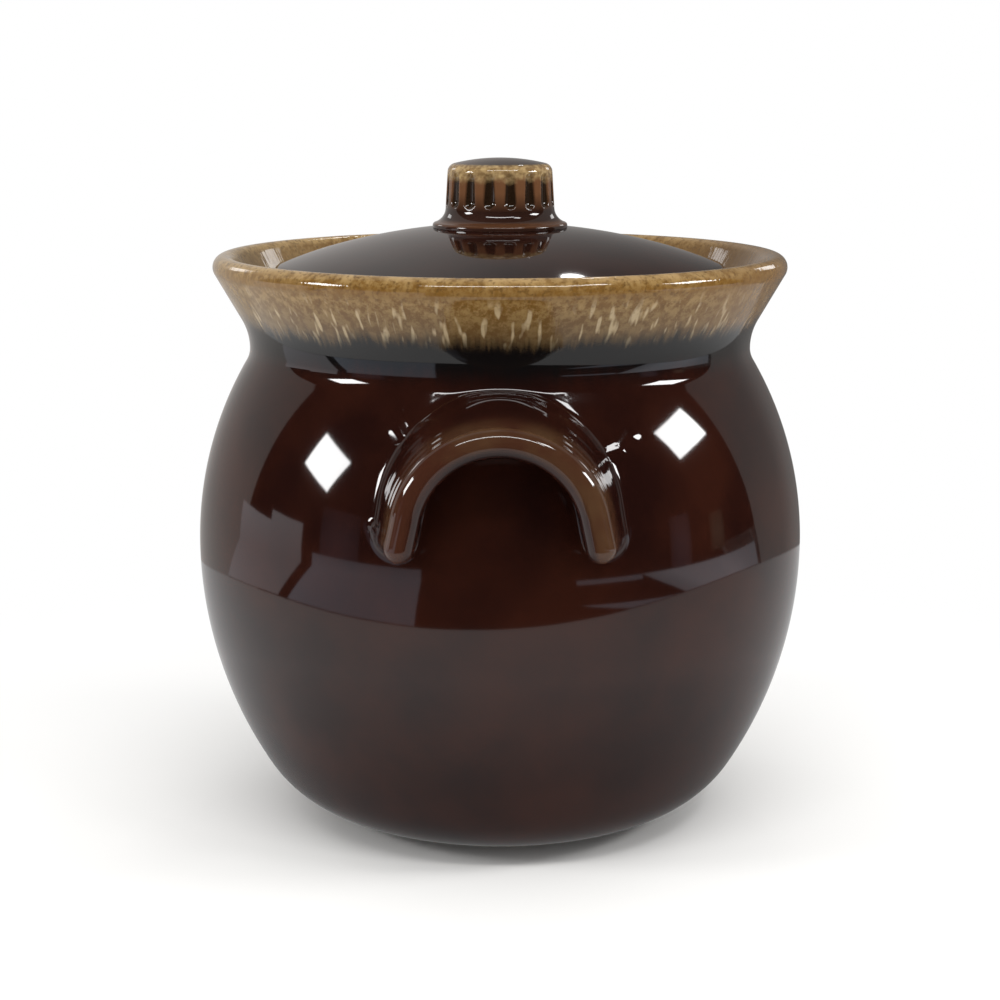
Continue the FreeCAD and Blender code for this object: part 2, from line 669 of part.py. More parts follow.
def make_knob():
    """The knob: a turned grip with a flared foot, fluted all round."""
    body = document.addObject("PartDesign::Body", "Knob")
    body.Label = "lid_knob"
    solid = turn(body, "KnobTurned", draw_knob_section(body))
    rim = [(dim.knob_foot_radius, dim.knob_rim_height)]
    rounded(body, "KnobFootRounded", solid, "knob_foot_fillet_radius", rim)
    sketch, middle = draw_flute(body)
    flute = body.newObject("PartDesign::Groove", "Flute")
    flute.Profile = sketch
    flute.ReferenceAxis = (sketch, [middle])
    flute.Angle = FULL_TURN
    flutes = body.newObject("PartDesign::PolarPattern", "Flutes")
    flutes.Originals = [flute]
    flutes.Axis = (origin_plane(body, "Z_Axis"), [""])
    flutes.Angle = FULL_TURN
    follow(flutes, "Occurrences", "flute_count")
    body.Tip = flutes
    return body


def check(parts):
    """Stop if anything in the document failed to build or any part is not one good solid."""
    document.recompute()
    for item in document.Objects:
        if {"Invalid", "Error"} & set(item.State):
            raise ValueError(f"{item.Name} failed to build: {item.State}")
    for part in parts:
        if part.Shape.isNull() or not part.Shape.isValid() or len(part.Shape.Solids) != 1:
            raise ValueError(f"{part.Label} is not one valid solid")


def export(parts):
    """Write each part to its own STEP file."""
    os.makedirs("parts", exist_ok=True)
    for part in parts:
        part.Shape.exportStep(f"parts/{part.Label}.step")
        print(f"{part.Label}: {part.Shape.Volume:.0f} cubic millimetres")


PARTS = [
    make_pot_body(),
    make_lug("FrontLug", "handle_front", 0),
    make_lug("RearLug", "handle_rear", HALF_TURN),
    make_lid(),
    make_knob(),
]
check(PARTS)
export(PARTS)
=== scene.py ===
"""A glazed stoneware bean pot: its body, two horseshoe lugs, and a loose lid with a fluted knob.

Sizes are in millimetres until a mesh is made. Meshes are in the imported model's frame: metres,
+Z up, the origin under the middle of the foot, and the front lug towards -Y.
"""
import logging
import math
from dataclasses import dataclass
from enum import Enum
from itertools import product

import bmesh
import bpy
import numpy as np
from mathutils import Matrix, Vector


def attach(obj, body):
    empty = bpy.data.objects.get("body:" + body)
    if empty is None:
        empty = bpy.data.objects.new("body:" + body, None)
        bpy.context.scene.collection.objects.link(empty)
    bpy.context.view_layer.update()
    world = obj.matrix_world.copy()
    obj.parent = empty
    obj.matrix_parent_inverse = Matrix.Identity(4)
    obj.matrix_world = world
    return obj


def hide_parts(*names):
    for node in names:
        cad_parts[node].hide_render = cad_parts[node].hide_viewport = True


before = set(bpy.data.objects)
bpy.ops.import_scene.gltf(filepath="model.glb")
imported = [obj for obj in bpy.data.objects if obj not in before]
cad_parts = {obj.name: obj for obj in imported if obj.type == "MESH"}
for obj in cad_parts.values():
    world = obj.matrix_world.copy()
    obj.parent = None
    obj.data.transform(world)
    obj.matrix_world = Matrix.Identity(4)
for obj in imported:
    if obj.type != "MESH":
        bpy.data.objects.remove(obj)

log = logging.getLogger("bean_pot")

MM = 0.001
MATH = "ShaderNodeMath"
VECTOR = "ShaderNodeVectorMath"
NOISE = "ShaderNodeTexNoise"
RANGE = "ShaderNodeMapRange"
MIX = "ShaderNodeMix"

# Where a colour Mix node takes its two colours.
MIX_A = 6
MIX_B = 7
MIX_OUT = 2

WHITE = (1.0, 1.0, 1.0, 1.0)

# The least distance in millimetres between two points of an outline, next to a cut.
LEAST_STEP = 0.02

# How many points a rounded corner has between its ends.
CORNER_POINTS = 5

Point = tuple[float, float]


class Body(str, Enum):
    """The bodies that pieces ride on."""

    POT = "pot"
    LID = "lid"


class Slot(str, Enum):
    """The record's material slots."""

    BROWN = "brown_glaze"
    AMBER = "amber_glaze"


def linear(code: str) -> tuple[float, float, float, float]:
    """Turn an sRGB hex colour into the linear one that a shader takes.

    Args:
        code: The colour, such as "#2b1610".

    Returns:
        Red, green, blue and an alpha of 1.
    """
    parts = [int(code[start:start + 2], 16) / 255 for start in (1, 3, 5)]
    return (*(c / 12.92 if c <= 0.04045 else ((c + 0.055) / 1.055) ** 2.4 for c in parts), 1.0)


def add(
    tree: bpy.types.NodeTree, kind: str, inputs: dict | None = None, **settings: object
) -> bpy.types.NodeOutputs:
    """Add a node with its settings, and fill or link its inputs.

    Args:
        tree: The tree that gets the node.
        kind: The node's type.
        inputs: What goes into each input, by name or number: a value or another node's output.
        settings: The node's own settings.

    Returns:
        The node's outputs.
    """
    made = tree.nodes.new(kind)
    for name, value in settings.items():
        setattr(made, name, value)
    for key, value in (inputs or {}).items():
        if isinstance(value, bpy.types.NodeSocket):
            tree.links.new(value, made.inputs[key])
        else:
            made.inputs[key].default_value = value
    return made.outputs


def blank(made: bpy.types.Material | bpy.types.World) -> bpy.types.NodeTree:
    """Empty the nodes of a new material or world.

    Args:
        made: The material or the world.

    Returns:
        Its node tree.
    """
    made.use_nodes = True
    made.node_tree.nodes.clear()
    return made.node_tree


def stand(name: str, data: bpy.types.ID) -> bpy.types.Object:
    """Put a new object into the scene.

    Args:
        name: The object's name.
        data: Its mesh, lamp or camera.

    Returns:
        The object.
    """
    made = bpy.data.objects.new(name, data)
    bpy.context.scene.collection.objects.link(made)
    return made


# Outlines


def arc(centre: Point, radius: float, first: float, last: float, step: float) -> np.ndarray:
    """Points along an arc.

    Args:
        centre: The arc's centre.
        radius: Its radius.
        first: The angle that it starts at, in radians.
        last: The angle that it ends at.
        step: About how far apart the points are.

    Returns:
        An array of points, one to a row.
    """
    count = max(2, math.ceil(abs(last - first) * radius / step) + 1)
    angles = np.linspace(first, last, count)
    return np.stack([centre[0] + radius * np.cos(angles), centre[1] + radius * np.sin(angles)], axis=1)


def line(start: Point, end: Point, step: float) -> np.ndarray:
    """Points along a straight line, about a step apart."""
    return np.linspace(start, end, max(2, math.ceil(math.dist(start, end) / step) + 1))


def chain(*parts: np.ndarray) -> np.ndarray:
    """Join runs of points that start where the one before them ends."""
    return np.concatenate([parts[0], *(part[1:] for part in parts[1:])])


def heading(start: Point, end: Point) -> float:
    """The angle of the way from one point to another, in radians."""
    return math.atan2(end[1] - start[1], end[0] - start[0])


def polar(centre: Point, radius: float, angle: float) -> Point:
    """The point of a circle at an angle in radians."""
    return (centre[0] + radius * math.cos(angle), centre[1] + radius * math.sin(angle))


def across(lower: Point, lower_radius: float, upper: Point, upper_radius: float) -> float:
    """The heading of a line that passes left of a lower circle and right of an upper one."""
    return heading(lower, upper) - math.asin((lower_radius + upper_radius) / math.dist(lower, upper))


def trimmed(run: np.ndarray, head: float, tail: float) -> np.ndarray:
    """Cut a length from the start and from the end of a run of points.

    Args:
        run: The points.
        head: How much of the start is cut off.
        tail: How much of the end.

    Returns:
        What is left, with a new point at each end.
    """
    along = np.concatenate([[0.0], np.cumsum(np.hypot(*np.diff(run, axis=0).T))])
    first, last = head, along[-1] - tail
    ends = [[np.interp(at, along, run[:, side]) for side in (0, 1)] for at in (first, last)]
    kept = run[(along > first + LEAST_STEP) & (along < last - LEAST_STEP)]
    return np.vstack([ends[0], kept, ends[1]])


def rounded(runs: list[np.ndarray], sizes: list[float]) -> np.ndarray:
    """Join runs of points end to end and round each corner between them.

    Args:
        runs: The runs, each of which starts where the one before it ends.
        sizes: How far along both runs each corner's rounding reaches.

    Returns:
        The whole outline.
    """
    reach = [0.0, *sizes, 0.0]
    cut = [trimmed(run, reach[place], reach[place + 1]) for place, run in enumerate(runs)]
    part = np.linspace(0, 1, CORNER_POINTS + 2)[1:-1, None]
    outline = [cut[0]]
    for before, after, run in zip(cut, cut[1:], runs[1:]):
        outline.append((1 - part) ** 2 * before[-1] + 2 * part * (1 - part) * run[0] + part ** 2 * after[0])
        outline.append(after)
    return np.concatenate(outline)


# Finishes


@dataclass(frozen=True)
class Fade:
    """How far something shows while a value goes from a start to an end."""

    start: float
    end: float
    most: float = 1.0
    least: float = 0.0
    smooth: bool = False

    def inputs(self, value: bpy.types.NodeSocket) -> dict:
        """The inputs of a Map Range node that follows a value in this way."""
        ends = {"From Min": self.start, "From Max": self.end}
        return {"Value": value, **ends, "To Min": self.least, "To Max": self.most}


@dataclass(frozen=True)
class Grain:
    """A mottling: how far apart its spots are in millimetres, and how much finer it goes."""

    size: float
    detail: float
    roughness: float = 0.5

    def inputs(self, place: bpy.types.NodeSocket, unit: float = MM) -> dict:
        """The inputs of a Noise Texture node for places in which a millimetre is a unit."""
        scale = 1 / (self.size * unit)
        return {"Vector": place, "Scale": scale, "Detail": self.detail, "Roughness": self.roughness}


def layered(tree: bpy.types.NodeTree, colour: object, *layers: tuple) -> bpy.types.NodeSocket:
    """Lay glazes one over another.

    Args:
        tree: The material's tree.
        colour: The lowest colour, as a hex colour or a node's output.
        layers: Each glaze's colour and its shares, which are multiplied. A share is a node's
            output, or a pair of such an output and the fade that makes a share of it.

    Returns:
        The colour that comes out on top.
    """
    for over, *shares in layers:
        total = None
        for share in shares:
            if isinstance(share, tuple):
                value, fade = share
                way = "SMOOTHSTEP" if fade.smooth else "LINEAR"
                share = add(tree, RANGE, fade.inputs(value), interpolation_type=way)[0]
            if total is None:
                total = share
            else:
                total = add(tree, MATH, {0: total, 1: share}, operation="MULTIPLY")[0]
        under, over = (linear(one) if isinstance(one, str) else one for one in (colour, over))
        colour = add(tree, MIX, {0: total, MIX_A: under, MIX_B: over}, data_type="RGBA")[MIX_OUT]
    return colour


@dataclass(frozen=True)
class Finish:
    """A fired surface. Each kind says how its colour, roughness and relief run."""

    name: str
    ior: float = 1.55

    def pattern(self, tree: bpy.types.NodeTree, place: bpy.types.NodeSocket) -> tuple:
        """Add the nodes of the surface's colour, roughness and relief in millimetres."""
        raise NotImplementedError

    def material(self) -> bpy.types.Material:
        """Make the material.

        Returns:
            The material, with its shader on the object's own coordinates.
        """
        made = bpy.data.materials.new(self.name)
        tree = blank(made)
        place = add(tree, "ShaderNodeTexCoord")["Object"]
        colour, roughness, relief = self.pattern(tree, place)
        bump = add(tree, "ShaderNodeBump", {"Height": relief, "Distance": MM, "Strength": 1.0})[0]
        inputs = {"Base Color": colour, "Roughness": roughness, "IOR": self.ior, "Normal": bump}
        shader = add(tree, "ShaderNodeBsdfPrincipled", inputs)[0]
        add(tree, "ShaderNodeOutputMaterial", {"Surface": shader})
        return made


@dataclass(frozen=True)
class BrownGlaze(Finish):
    """Iron-brown glaze, dipped and fired to a deep gloss on a red body.

    It is nearly black where it lies thick and red-brown where it lies thin, so large soft clouds
    of both show under a hard shine. The surface is a little uneven, which bends what it reflects.
    On the lugs it runs thin to amber over the nose, and the strokes that shaped them comb the shine.
    """

    # Clouds of thick and thin glaze.
    thick: str = "#1d0c09"
    thin: str = "#2c140d"
    clouds: Grain = Grain(26.0, 4.0)
    cloudy: Fade = Fade(0.36, 0.66)

    # Patches of gold in the amber of the lugs.
    amber: str = "#3a2016"
    gold: str = "#4b3523"
    patches: Grain = Grain(16.0, 3.0)
    patch_seed: float = 15.5
    golden: Fade = Fade(0.42, 0.66)

    # Slow waves in the surface, and a finer unevenness like an orange's peel.
    waves: Grain = Grain(34.0, 1.0)
    wave_height: float = 0.05
    peel: Grain = Grain(3.2, 2.0)
    peel_height: float = 0.0022

    # The strokes of the shaping tool, a little coarser than real ones so that they show.
    rib_width: float = 3.2
    rib_height: float = 0.16

    gloss: float = 0.055
    clay: str = "#b9a58b"
    clay_roughness: float = 0.8

    def ground(self, tree: bpy.types.NodeTree, place: bpy.types.NodeSocket) -> tuple:
        """Add the plain glaze.

        Args:
            tree: The material's tree.
            place: The object's own coordinates.

        Returns:
            The colour and the relief.
        """
        cloud, wave, peel = (
            add(tree, NOISE, grain.inputs(place))[0] for grain in (self.clouds, self.waves, self.peel)
        )
        patch = add(
            tree, NOISE, self.patches.inputs(place) | {"W": self.patch_seed}, noise_dimensions="4D"
        )[0]
        roll, rib, combed = (
            add(tree, "ShaderNodeAttribute", attribute_name=name)["Fac"] for name in ("roll", "rib", "combed")
        )
        brown = layered(tree, self.thick, (self.thin, (cloud, self.cloudy)))
        warm = layered(tree, self.amber, (self.gold, (patch, self.golden)))
        colour = layered(tree, brown, (warm, roll))

        scale = 1 / self.rib_width
        rib = add(tree, NOISE, {"W": rib, "Scale": scale, "Detail": 0.0}, noise_dimensions="1D")[0]
        rib = add(tree, MATH, {0: rib, 1: combed}, operation="MULTIPLY")[0]
        relief = add(tree, MATH, {0: wave, 1: self.wave_height}, operation="MULTIPLY")[0]
        for bumps, height in ((peel, self.peel_height), (rib, self.rib_height)):
            relief = add(tree, MATH, {0: bumps, 1: height, 2: relief}, operation="MULTIPLY_ADD")[0]
        return colour, relief

    def bared(self, tree: bpy.types.NodeTree, colour: object, bare: bpy.types.NodeSocket) -> tuple:
        """Add bare clay where the glaze was wiped off.

        Args:
            tree: The material's tree.
            colour: The glaze's colour.
            bare: 1 on bare clay and 0 on glaze.

        Returns:
            The colour and the roughness.
        """
        rough = Fade(0.0, 1.0, self.clay_roughness, self.gloss)
        return layered(tree, colour, (self.clay, bare)), add(tree, RANGE, rough.inputs(bare))[0]


@dataclass(frozen=True)
class DripGlaze(BrownGlaze):
    """Iron-brown glaze under a second, pale glaze that runs down from the rim.

    The pale glaze melts into the brown as it runs: tan and flecked on the lip, streaked with
    cream on the flare, and blue-black where its last thin film ends in the neck, a colour that
    is partly the film's own and partly painted shade under the flare.
    """

    # Tan broken by ochre.
    tan: str = "#917549"
    ochre: str = "#6e4f25"
    mottle: Grain = Grain(2.6, 5.0, 0.7)
    mottled: Fade = Fade(0.42, 0.57)

    # Cream drips, the paler lip with its wear, and dark flecks drawn coarse enough to show.
    cream: str = "#b9a684"
    drips: Grain = Grain(2.0, 1.0)
    drip_stretch: float = 3.2
    creamy: Fade = Fade(0.59, 0.69, 0.7)
    lip: str = "#a88b5e"
    wear: Grain = Grain(7.0, 3.0)
    worn: Fade = Fade(0.4, 0.58, 0.9, 0.2)
    fleck: str = "#563d1f"
    specks: Grain = Grain(1.2, 3.0)
    specked: Fade = Fade(0.52, 0.68, 0.75)

    # The dark brown that shows through low down, and the last film of all, whose near-black is partly the
    # glaze's own film and partly painted shade under the flare.
    umber: str = "#50402e"
    neck_film_and_shade: str = "#0e0d0d"

    # The heights between which each colour comes in.
    umber_down: Fade = Fade(161.0, 150.0, 0.75)
    cream_down: Fade = Fade(163.0, 157.0)
    line_up: Fade = Fade(159.5, 161.5)
    line_down: Fade = Fade(165.0, 163.4, 0.6)
    lip_up: Fade = Fade(164.6, 166.2)
    fleck_up: Fade = Fade(155.0, 163.0, 1.0, 0.25)
    neck_film_and_shade_up: Fade = Fade(141.0, 149.0, smooth=True)

    # How far round towards -X the rim is painted paler with cream, a painted reflection of the room at its
    # grazing edge, and how far towards +X it turns more ochre.
    painted_sheen_side: Fade = Fade(-0.6, -1.0, 0.2)
    ochre_right_side: Fade = Fade(0.6, 1.0, 0.8)

    # Where the pale glaze ends, and how its streaks and their wandering change that.
    rim_radius: float = 83.0
    run_foot: float = 149.5
    run_depth: float = 5.5
    streaks: Grain = Grain(1.5, 2.0)
    streak_stretch: float = 7.0
    streak_fall: float = 5.5
    streak_height: float = 0.08
    wander: Grain = Grain(20.0, 1.0)
    wander_fall: float = 5.0

    # How far out and up the foot is bare.
    foot_reach: float = 44.0
    bare_height: float = 0.9

    def pattern(self, tree: bpy.types.NodeTree, place: bpy.types.NodeSocket) -> tuple:
        """Add the nodes of the two glazes.

        Args:
            tree: The material's tree.
            place: The object's own coordinates.

        Returns:
            The colour, the roughness and the relief.
        """
        brown, relief = self.ground(tree, place)
        metres = add(tree, "ShaderNodeSeparateXYZ", {0: place})["Z"]
        height = add(tree, MATH, {0: metres, 1: 1 / MM}, operation="MULTIPLY")[0]

        # The way round the rim in millimetres, the same all the way down one streak.
        flat = add(tree, VECTOR, {0: place, 1: (1, 1, 0)}, operation="MULTIPLY")[0]
        way = add(tree, VECTOR, {0: flat}, operation="NORMALIZE")[0]
        aside = add(tree, "ShaderNodeSeparateXYZ", {0: way})["X"]
        around = add(tree, VECTOR, {0: way, "Scale": self.rim_radius}, operation="SCALE")[0]
        runs = []
        for grain, stretch in ((self.streaks, self.streak_stretch), (self.drips, self.drip_stretch)):
            down = add(tree, VECTOR, {0: place, 1: (0, 0, 1 / (MM * stretch))}, operation="MULTIPLY")[0]
            drawn = add(tree, VECTOR, {0: around, 1: down}, operation="ADD")[0]
            runs.append(add(tree, NOISE, grain.inputs(drawn, 1.0))[0])
        streak, drip = runs
        wander = add(tree, NOISE, self.wander.inputs(around, 1.0))[0]
        level = height
        for noise, fall in ((streak, self.streak_fall), (wander, self.wander_fall)):
            level = add(tree, MATH, {0: noise, 1: fall, 2: level}, operation="MULTIPLY_ADD")[0]
        middle = self.run_foot + (self.streak_fall + self.wander_fall) / 2
        ends = Fade(middle - self.run_depth / 2, middle + self.run_depth / 2)
        run = add(tree, RANGE, ends.inputs(level), interpolation_type="SMOOTHSTEP")[0]

        # Tan glaze broken by ochre, with cream streaks low down and dark flecks high up.
        mottle, wear, speck = (
            add(tree, NOISE, grain.inputs(place))[0] for grain in (self.mottle, self.wear, self.specks)
        )
        pale = layered(
            tree,
            self.ochre,
            (self.tan, (mottle, self.mottled)),
            (self.umber, (height, self.umber_down)),
            (self.cream, (drip, self.creamy), (height, self.cream_down)),
            (self.ochre, (height, self.line_up), (height, self.line_down)),
            (self.lip, (height, self.lip_up), (wear, self.worn)),
            (self.fleck, (speck, self.specked), (height, self.fleck_up)),
            # Painted reflection: cream over the -X side of the rim stands in for the sheen at its grazing
            # edge; the +X side turns more ochre.
            (self.cream, (aside, self.painted_sheen_side)),
            (self.ochre, (aside, self.ochre_right_side)),
        )

        # The film's end in the neck is blue-black before the plain brown starts: partly the glaze's own film,
        # partly painted shade under the flare.
        colour = layered(tree, brown, (self.neck_film_and_shade, (level, self.neck_film_and_shade_up)), (pale, run))

        standing = add(tree, MATH, {0: height, 1: self.bare_height}, operation="LESS_THAN")[0]
        reach = add(tree, VECTOR, {0: flat}, operation="LENGTH")["Value"]
        near = add(tree, MATH, {0: reach, 1: self.foot_reach * MM}, operation="LESS_THAN")[0]
        bare = add(tree, MATH, {0: standing, 1: near}, operation="MULTIPLY")[0]
        colour, roughness = self.bared(tree, colour, bare)
        thickness = add(tree, MATH, {0: streak, 1: run}, operation="MULTIPLY")[0]
        relief = add(
            tree, MATH, {0: thickness, 1: self.streak_height, 2: relief}, operation="MULTIPLY_ADD"
        )[0]
        return colour, roughness, relief


@dataclass(frozen=True)
class LidGlaze(BrownGlaze):
    """Iron-brown glaze on the lid's top, wiped off its seat and flange so that it doesn't stick."""

    thick: str = "#160a08"
    thin: str = "#25110c"
    seat_height: float = 154.2

    def pattern(self, tree: bpy.types.NodeTree, place: bpy.types.NodeSocket) -> tuple:
        """Add the nodes of the lid's glaze.

        Args:
            tree: The material's tree.
            place: The object's own coordinates.

        Returns:
            The colour, the roughness and the relief.
        """
        colour, relief = self.ground(tree, place)
        metres = add(tree, "ShaderNodeSeparateXYZ", {0: place})["Z"]
        bare = add(tree, MATH, {0: metres, 1: self.seat_height * MM}, operation="LESS_THAN")[0]
        colour, roughness = self.bared(tree, colour, bare)
        return colour, roughness, relief


@dataclass(frozen=True)
class KnobGlaze(BrownGlaze):
    """Both glazes over flutes: pale and mottled round the top, with the crown's middle kept brown as a
    painted dark reflection, caramel on the ridges, black between.
    """

    thick: str = "#21140e"
    thin: str = "#34201a"
    caramel: str = "#6b4830"
    bead: str = "#523420"
    pool: str = "#261a10"
    pooled: Fade = Fade(0.06, 0.5)
    tan: str = "#7a6140"
    straw: str = "#b0966a"
    mottle: Grain = Grain(1.6, 4.0)
    mottled: Fade = Fade(0.4, 0.66)
    wander: Grain = Grain(3.0, 3.0)
    wander_rise: float = 4.0

    # Millimetres above the dome's apex, between which each colour comes in.
    apex: float = 174.77
    caramel_up: Fade = Fade(4.2, 9.5)
    bead_up: Fade = Fade(-0.3, 0.2)
    bead_down: Fade = Fade(1.6, 0.8, 0.8)
    pale_up: Fade = Fade(14.2, 16.2)
    painted_dark_crown_up: Fade = Fade(16.0, 17.0)

    # How far from the axis, in metres, the crown's plain brown ends: a painted dark reflection on the crown's
    # middle.
    painted_dark_crown_out: Fade = Fade(14.3 * MM, 12.8 * MM)

    def pattern(self, tree: bpy.types.NodeTree, place: bpy.types.NodeSocket) -> tuple:
        """Add the nodes of the knob's glazes.

        Args:
            tree: The material's tree.
            place: The object's own coordinates.

        Returns:
            The colour, the roughness and the relief.
        """
        brown, relief = self.ground(tree, place)
        metres = add(tree, "ShaderNodeSeparateXYZ", {0: place})["Z"]
        above = add(tree, MATH, {0: metres, 1: 1 / MM, 2: -self.apex}, operation="MULTIPLY_ADD")[0]
        wander = add(tree, NOISE, self.wander.inputs(place))[0]
        level = add(tree, MATH, {0: wander, 1: self.wander_rise, 2: above}, operation="MULTIPLY_ADD")[0]
        hollow = add(tree, "ShaderNodeAttribute", attribute_name="hollow")["Fac"]
        flat = add(tree, VECTOR, {0: place, 1: (1, 1, 0)}, operation="MULTIPLY")[0]
        reach = add(tree, VECTOR, {0: flat}, operation="LENGTH")["Value"]
        mottle = add(tree, NOISE, self.mottle.inputs(place))[0]
        pale = layered(tree, self.tan, (self.straw, (mottle, self.mottled)))
        colour = layered(
            tree,
            brown,
            (self.caramel, (above, self.caramel_up)),
            (self.bead, (above, self.bead_up), (above, self.bead_down)),
            (self.pool, (hollow, self.pooled)),
            (pale, (level, self.pale_up)),
            # Painted dark reflection: the crown's middle is kept plain brown, as it looks in the glaze.
            (brown, (reach, self.painted_dark_crown_out), (above, self.painted_dark_crown_up)),
        )
        return colour, self.gloss, relief


# Turned pieces


class Wheel:
    """The node tree that turns a half outline into a closed skin, and flutes it where asked."""

    # How close, in metres, the points of a pole come before they are one point.
    POLE = 1e-6

    # Further out, in metres, than any outline reaches.
    CLEAR = 10.0

    def __init__(self) -> None:
        """Build the tree with its named inputs."""
        self.tree = bpy.data.node_groups.new("Turned and fluted skin", "GeometryNodeTree")
        self.sockets = {}
        for label, kind, value in (
            ("Outline", "NodeSocketGeometry", None),
            ("Segments", "NodeSocketInt", 320),
            ("Flutes", "NodeSocketInt", 1),
            ("Flute reach", "NodeSocketFloat", 1.0),
            ("Flute radius", "NodeSocketFloat", 0.0),
            ("Flute foot", "NodeSocketFloat", 0.0),
            ("Flute head", "NodeSocketFloat", 0.0),
            ("Softness", "NodeSocketFloat", 0.0008),
            ("Finish", "NodeSocketMaterial", None),
        ):
            socket = self.tree.interface.new_socket(label, in_out="INPUT", socket_type=kind)
            if value is not None:
                socket.default_value = value
            self.sockets[label] = socket.identifier
        self.tree.interface.new_socket("Skin", in_out="OUTPUT", socket_type="NodeSocketGeometry")
        self.wire()

    def cut(self, given: bpy.types.NodeOutputs, turn: object, reach: object, level: object) -> object:
        """Add the nodes of the flutes, each the mark of a rod with round ends.

        Args:
            given: The group's inputs.
            turn: The angle round the axis, in radians.
            reach: The outline's distance from the axis.
            level: The height.

        Returns:
            The distance from the axis once the flutes are cut.
        """
        values = {socket.name: socket for socket in given}
        values |= {"turn": turn, "reach": reach, "level": level}
        for name, operation, *terms in (
            # How far round it is to the middle of the nearest flute.
            ("pitch", "DIVIDE", math.tau, "Flutes"),
            ("half", "MULTIPLY", "pitch", 0.5),
            ("past", "FLOORED_MODULO", "turn", "pitch"),
            ("aside", "SUBTRACT", "past", "half"),
            # How far above or below the straight part of the rod it is.
            ("low", "ADD", "Flute foot", "Flute radius"),
            ("below", "SUBTRACT", "low", "level"),
            ("high", "SUBTRACT", "Flute head", "Flute radius"),
            ("above", "SUBTRACT", "level", "high"),
            # The square of how far the rod reaches in from its own axis there.
            ("sine", "SINE", "aside"),
            ("sideways", "MULTIPLY", "sine", "Flute reach"),
            ("room", "MULTIPLY", "Flute radius", "Flute radius"),
            ("beyond", "MAXIMUM", "below", 0.0),
            ("square", "MULTIPLY", "beyond", "beyond"),
            ("room", "SUBTRACT", "room", "square"),
            ("beyond", "MAXIMUM", "above", 0.0),
            ("square", "MULTIPLY", "beyond", "beyond"),
            ("room", "SUBTRACT", "room", "square"),
            ("square", "MULTIPLY", "sideways", "sideways"),
            ("room", "SUBTRACT", "room", "square"),
            # The floor of the flute, which lies far out where the rod doesn't reach.
            ("open room", "MAXIMUM", "room", 0.0),
            ("bite", "POWER", "open room", 0.5),
            ("cosine", "COSINE", "aside"),
            ("axis", "MULTIPLY", "cosine", "Flute reach"),
            ("floor", "SUBTRACT", "axis", "bite"),
            ("outside", "LESS_THAN", "room", 0.0),
            ("clear", "MULTIPLY_ADD", "outside", self.CLEAR, "floor"),
            ("fluted", "SMOOTH_MIN", "reach", "clear", "Softness"),
        ):
            inputs = {place: values.get(term, term) for place, term in enumerate(terms)}
            values[name] = add(self.tree, MATH, inputs, operation=operation)[0]
        return values["fluted"]

    def wire(self) -> None:
        """Add the nodes that sweep the outline round the axis.

        Each point of the skin keeps the angle that it was turned to and its spot in the outline
        until the flutes are cut, and how deep they are there in millimetres for the glaze.
        """
        tree = self.tree
        given = add(tree, "NodeGroupInput")
        half = add(tree, "GeometryNodeMeshToCurve", {"Mesh": given["Outline"]})[0]
        ring = add(tree, "GeometryNodeCurvePrimitiveCircle", {"Resolution": given["Segments"]})[0]
        number = add(tree, "GeometryNodeInputIndex")[0]
        share = add(tree, MATH, {0: number, 1: given["Segments"]}, operation="DIVIDE")[0]
        angle = add(tree, MATH, {0: share, 1: math.tau}, operation="MULTIPLY")[0]
        spot = add(tree, "GeometryNodeInputPosition")[0]
        marked = []
        for shape, name, value, kind in (
            (ring, "turn", angle, "FLOAT"),
            (half, "spot", spot, "FLOAT_VECTOR"),
        ):
            inputs = {"Geometry": shape, "Name": name, "Value": value}
            marked.append(add(tree, "GeometryNodeStoreNamedAttribute", inputs, data_type=kind)[0])
        skin = add(tree, "GeometryNodeCurveToMesh", {"Curve": marked[0], "Profile Curve": marked[1]})[0]
        turn, drawn = (
            add(tree, "GeometryNodeInputNamedAttribute", {"Name": name}, data_type=kind)[0]
            for name, kind in (("turn", "FLOAT"), ("spot", "FLOAT_VECTOR"))
        )
        split = add(tree, "ShaderNodeSeparateXYZ", {0: drawn})
        fluted = self.cut(given, turn, split["X"], split["Z"])
        sides = []
        for operation in ("COSINE", "SINE"):
            side = add(tree, MATH, {0: turn}, operation=operation)[0]
            sides.append(add(tree, MATH, {0: fluted, 1: side}, operation="MULTIPLY")[0])
        put = add(tree, "ShaderNodeCombineXYZ", {0: sides[0], 1: sides[1], 2: split["Z"]})[0]
        depth = add(tree, MATH, {0: split["X"], 1: fluted}, operation="SUBTRACT")[0]
        hollow = add(tree, MATH, {0: depth, 1: 1 / MM}, operation="MULTIPLY")[0]
        for kind, inputs in (
            ("StoreNamedAttribute", {"Name": "hollow", "Value": hollow}),
            ("SetPosition", {"Position": put}),
            ("RemoveAttribute", {"Name": "turn"}),
            ("RemoveAttribute", {"Name": "spot"}),
            ("MergeByDistance", {"Distance": self.POLE}),
            ("SetShadeSmooth", {"Shade Smooth": True}),
            ("RealizeInstances", {}),
            ("SetMaterial", {"Material": given["Finish"]}),
        ):
            skin = add(tree, f"GeometryNode{kind}", {"Geometry": skin, **inputs})[0]
        add(tree, "NodeGroupOutput", {0: skin})

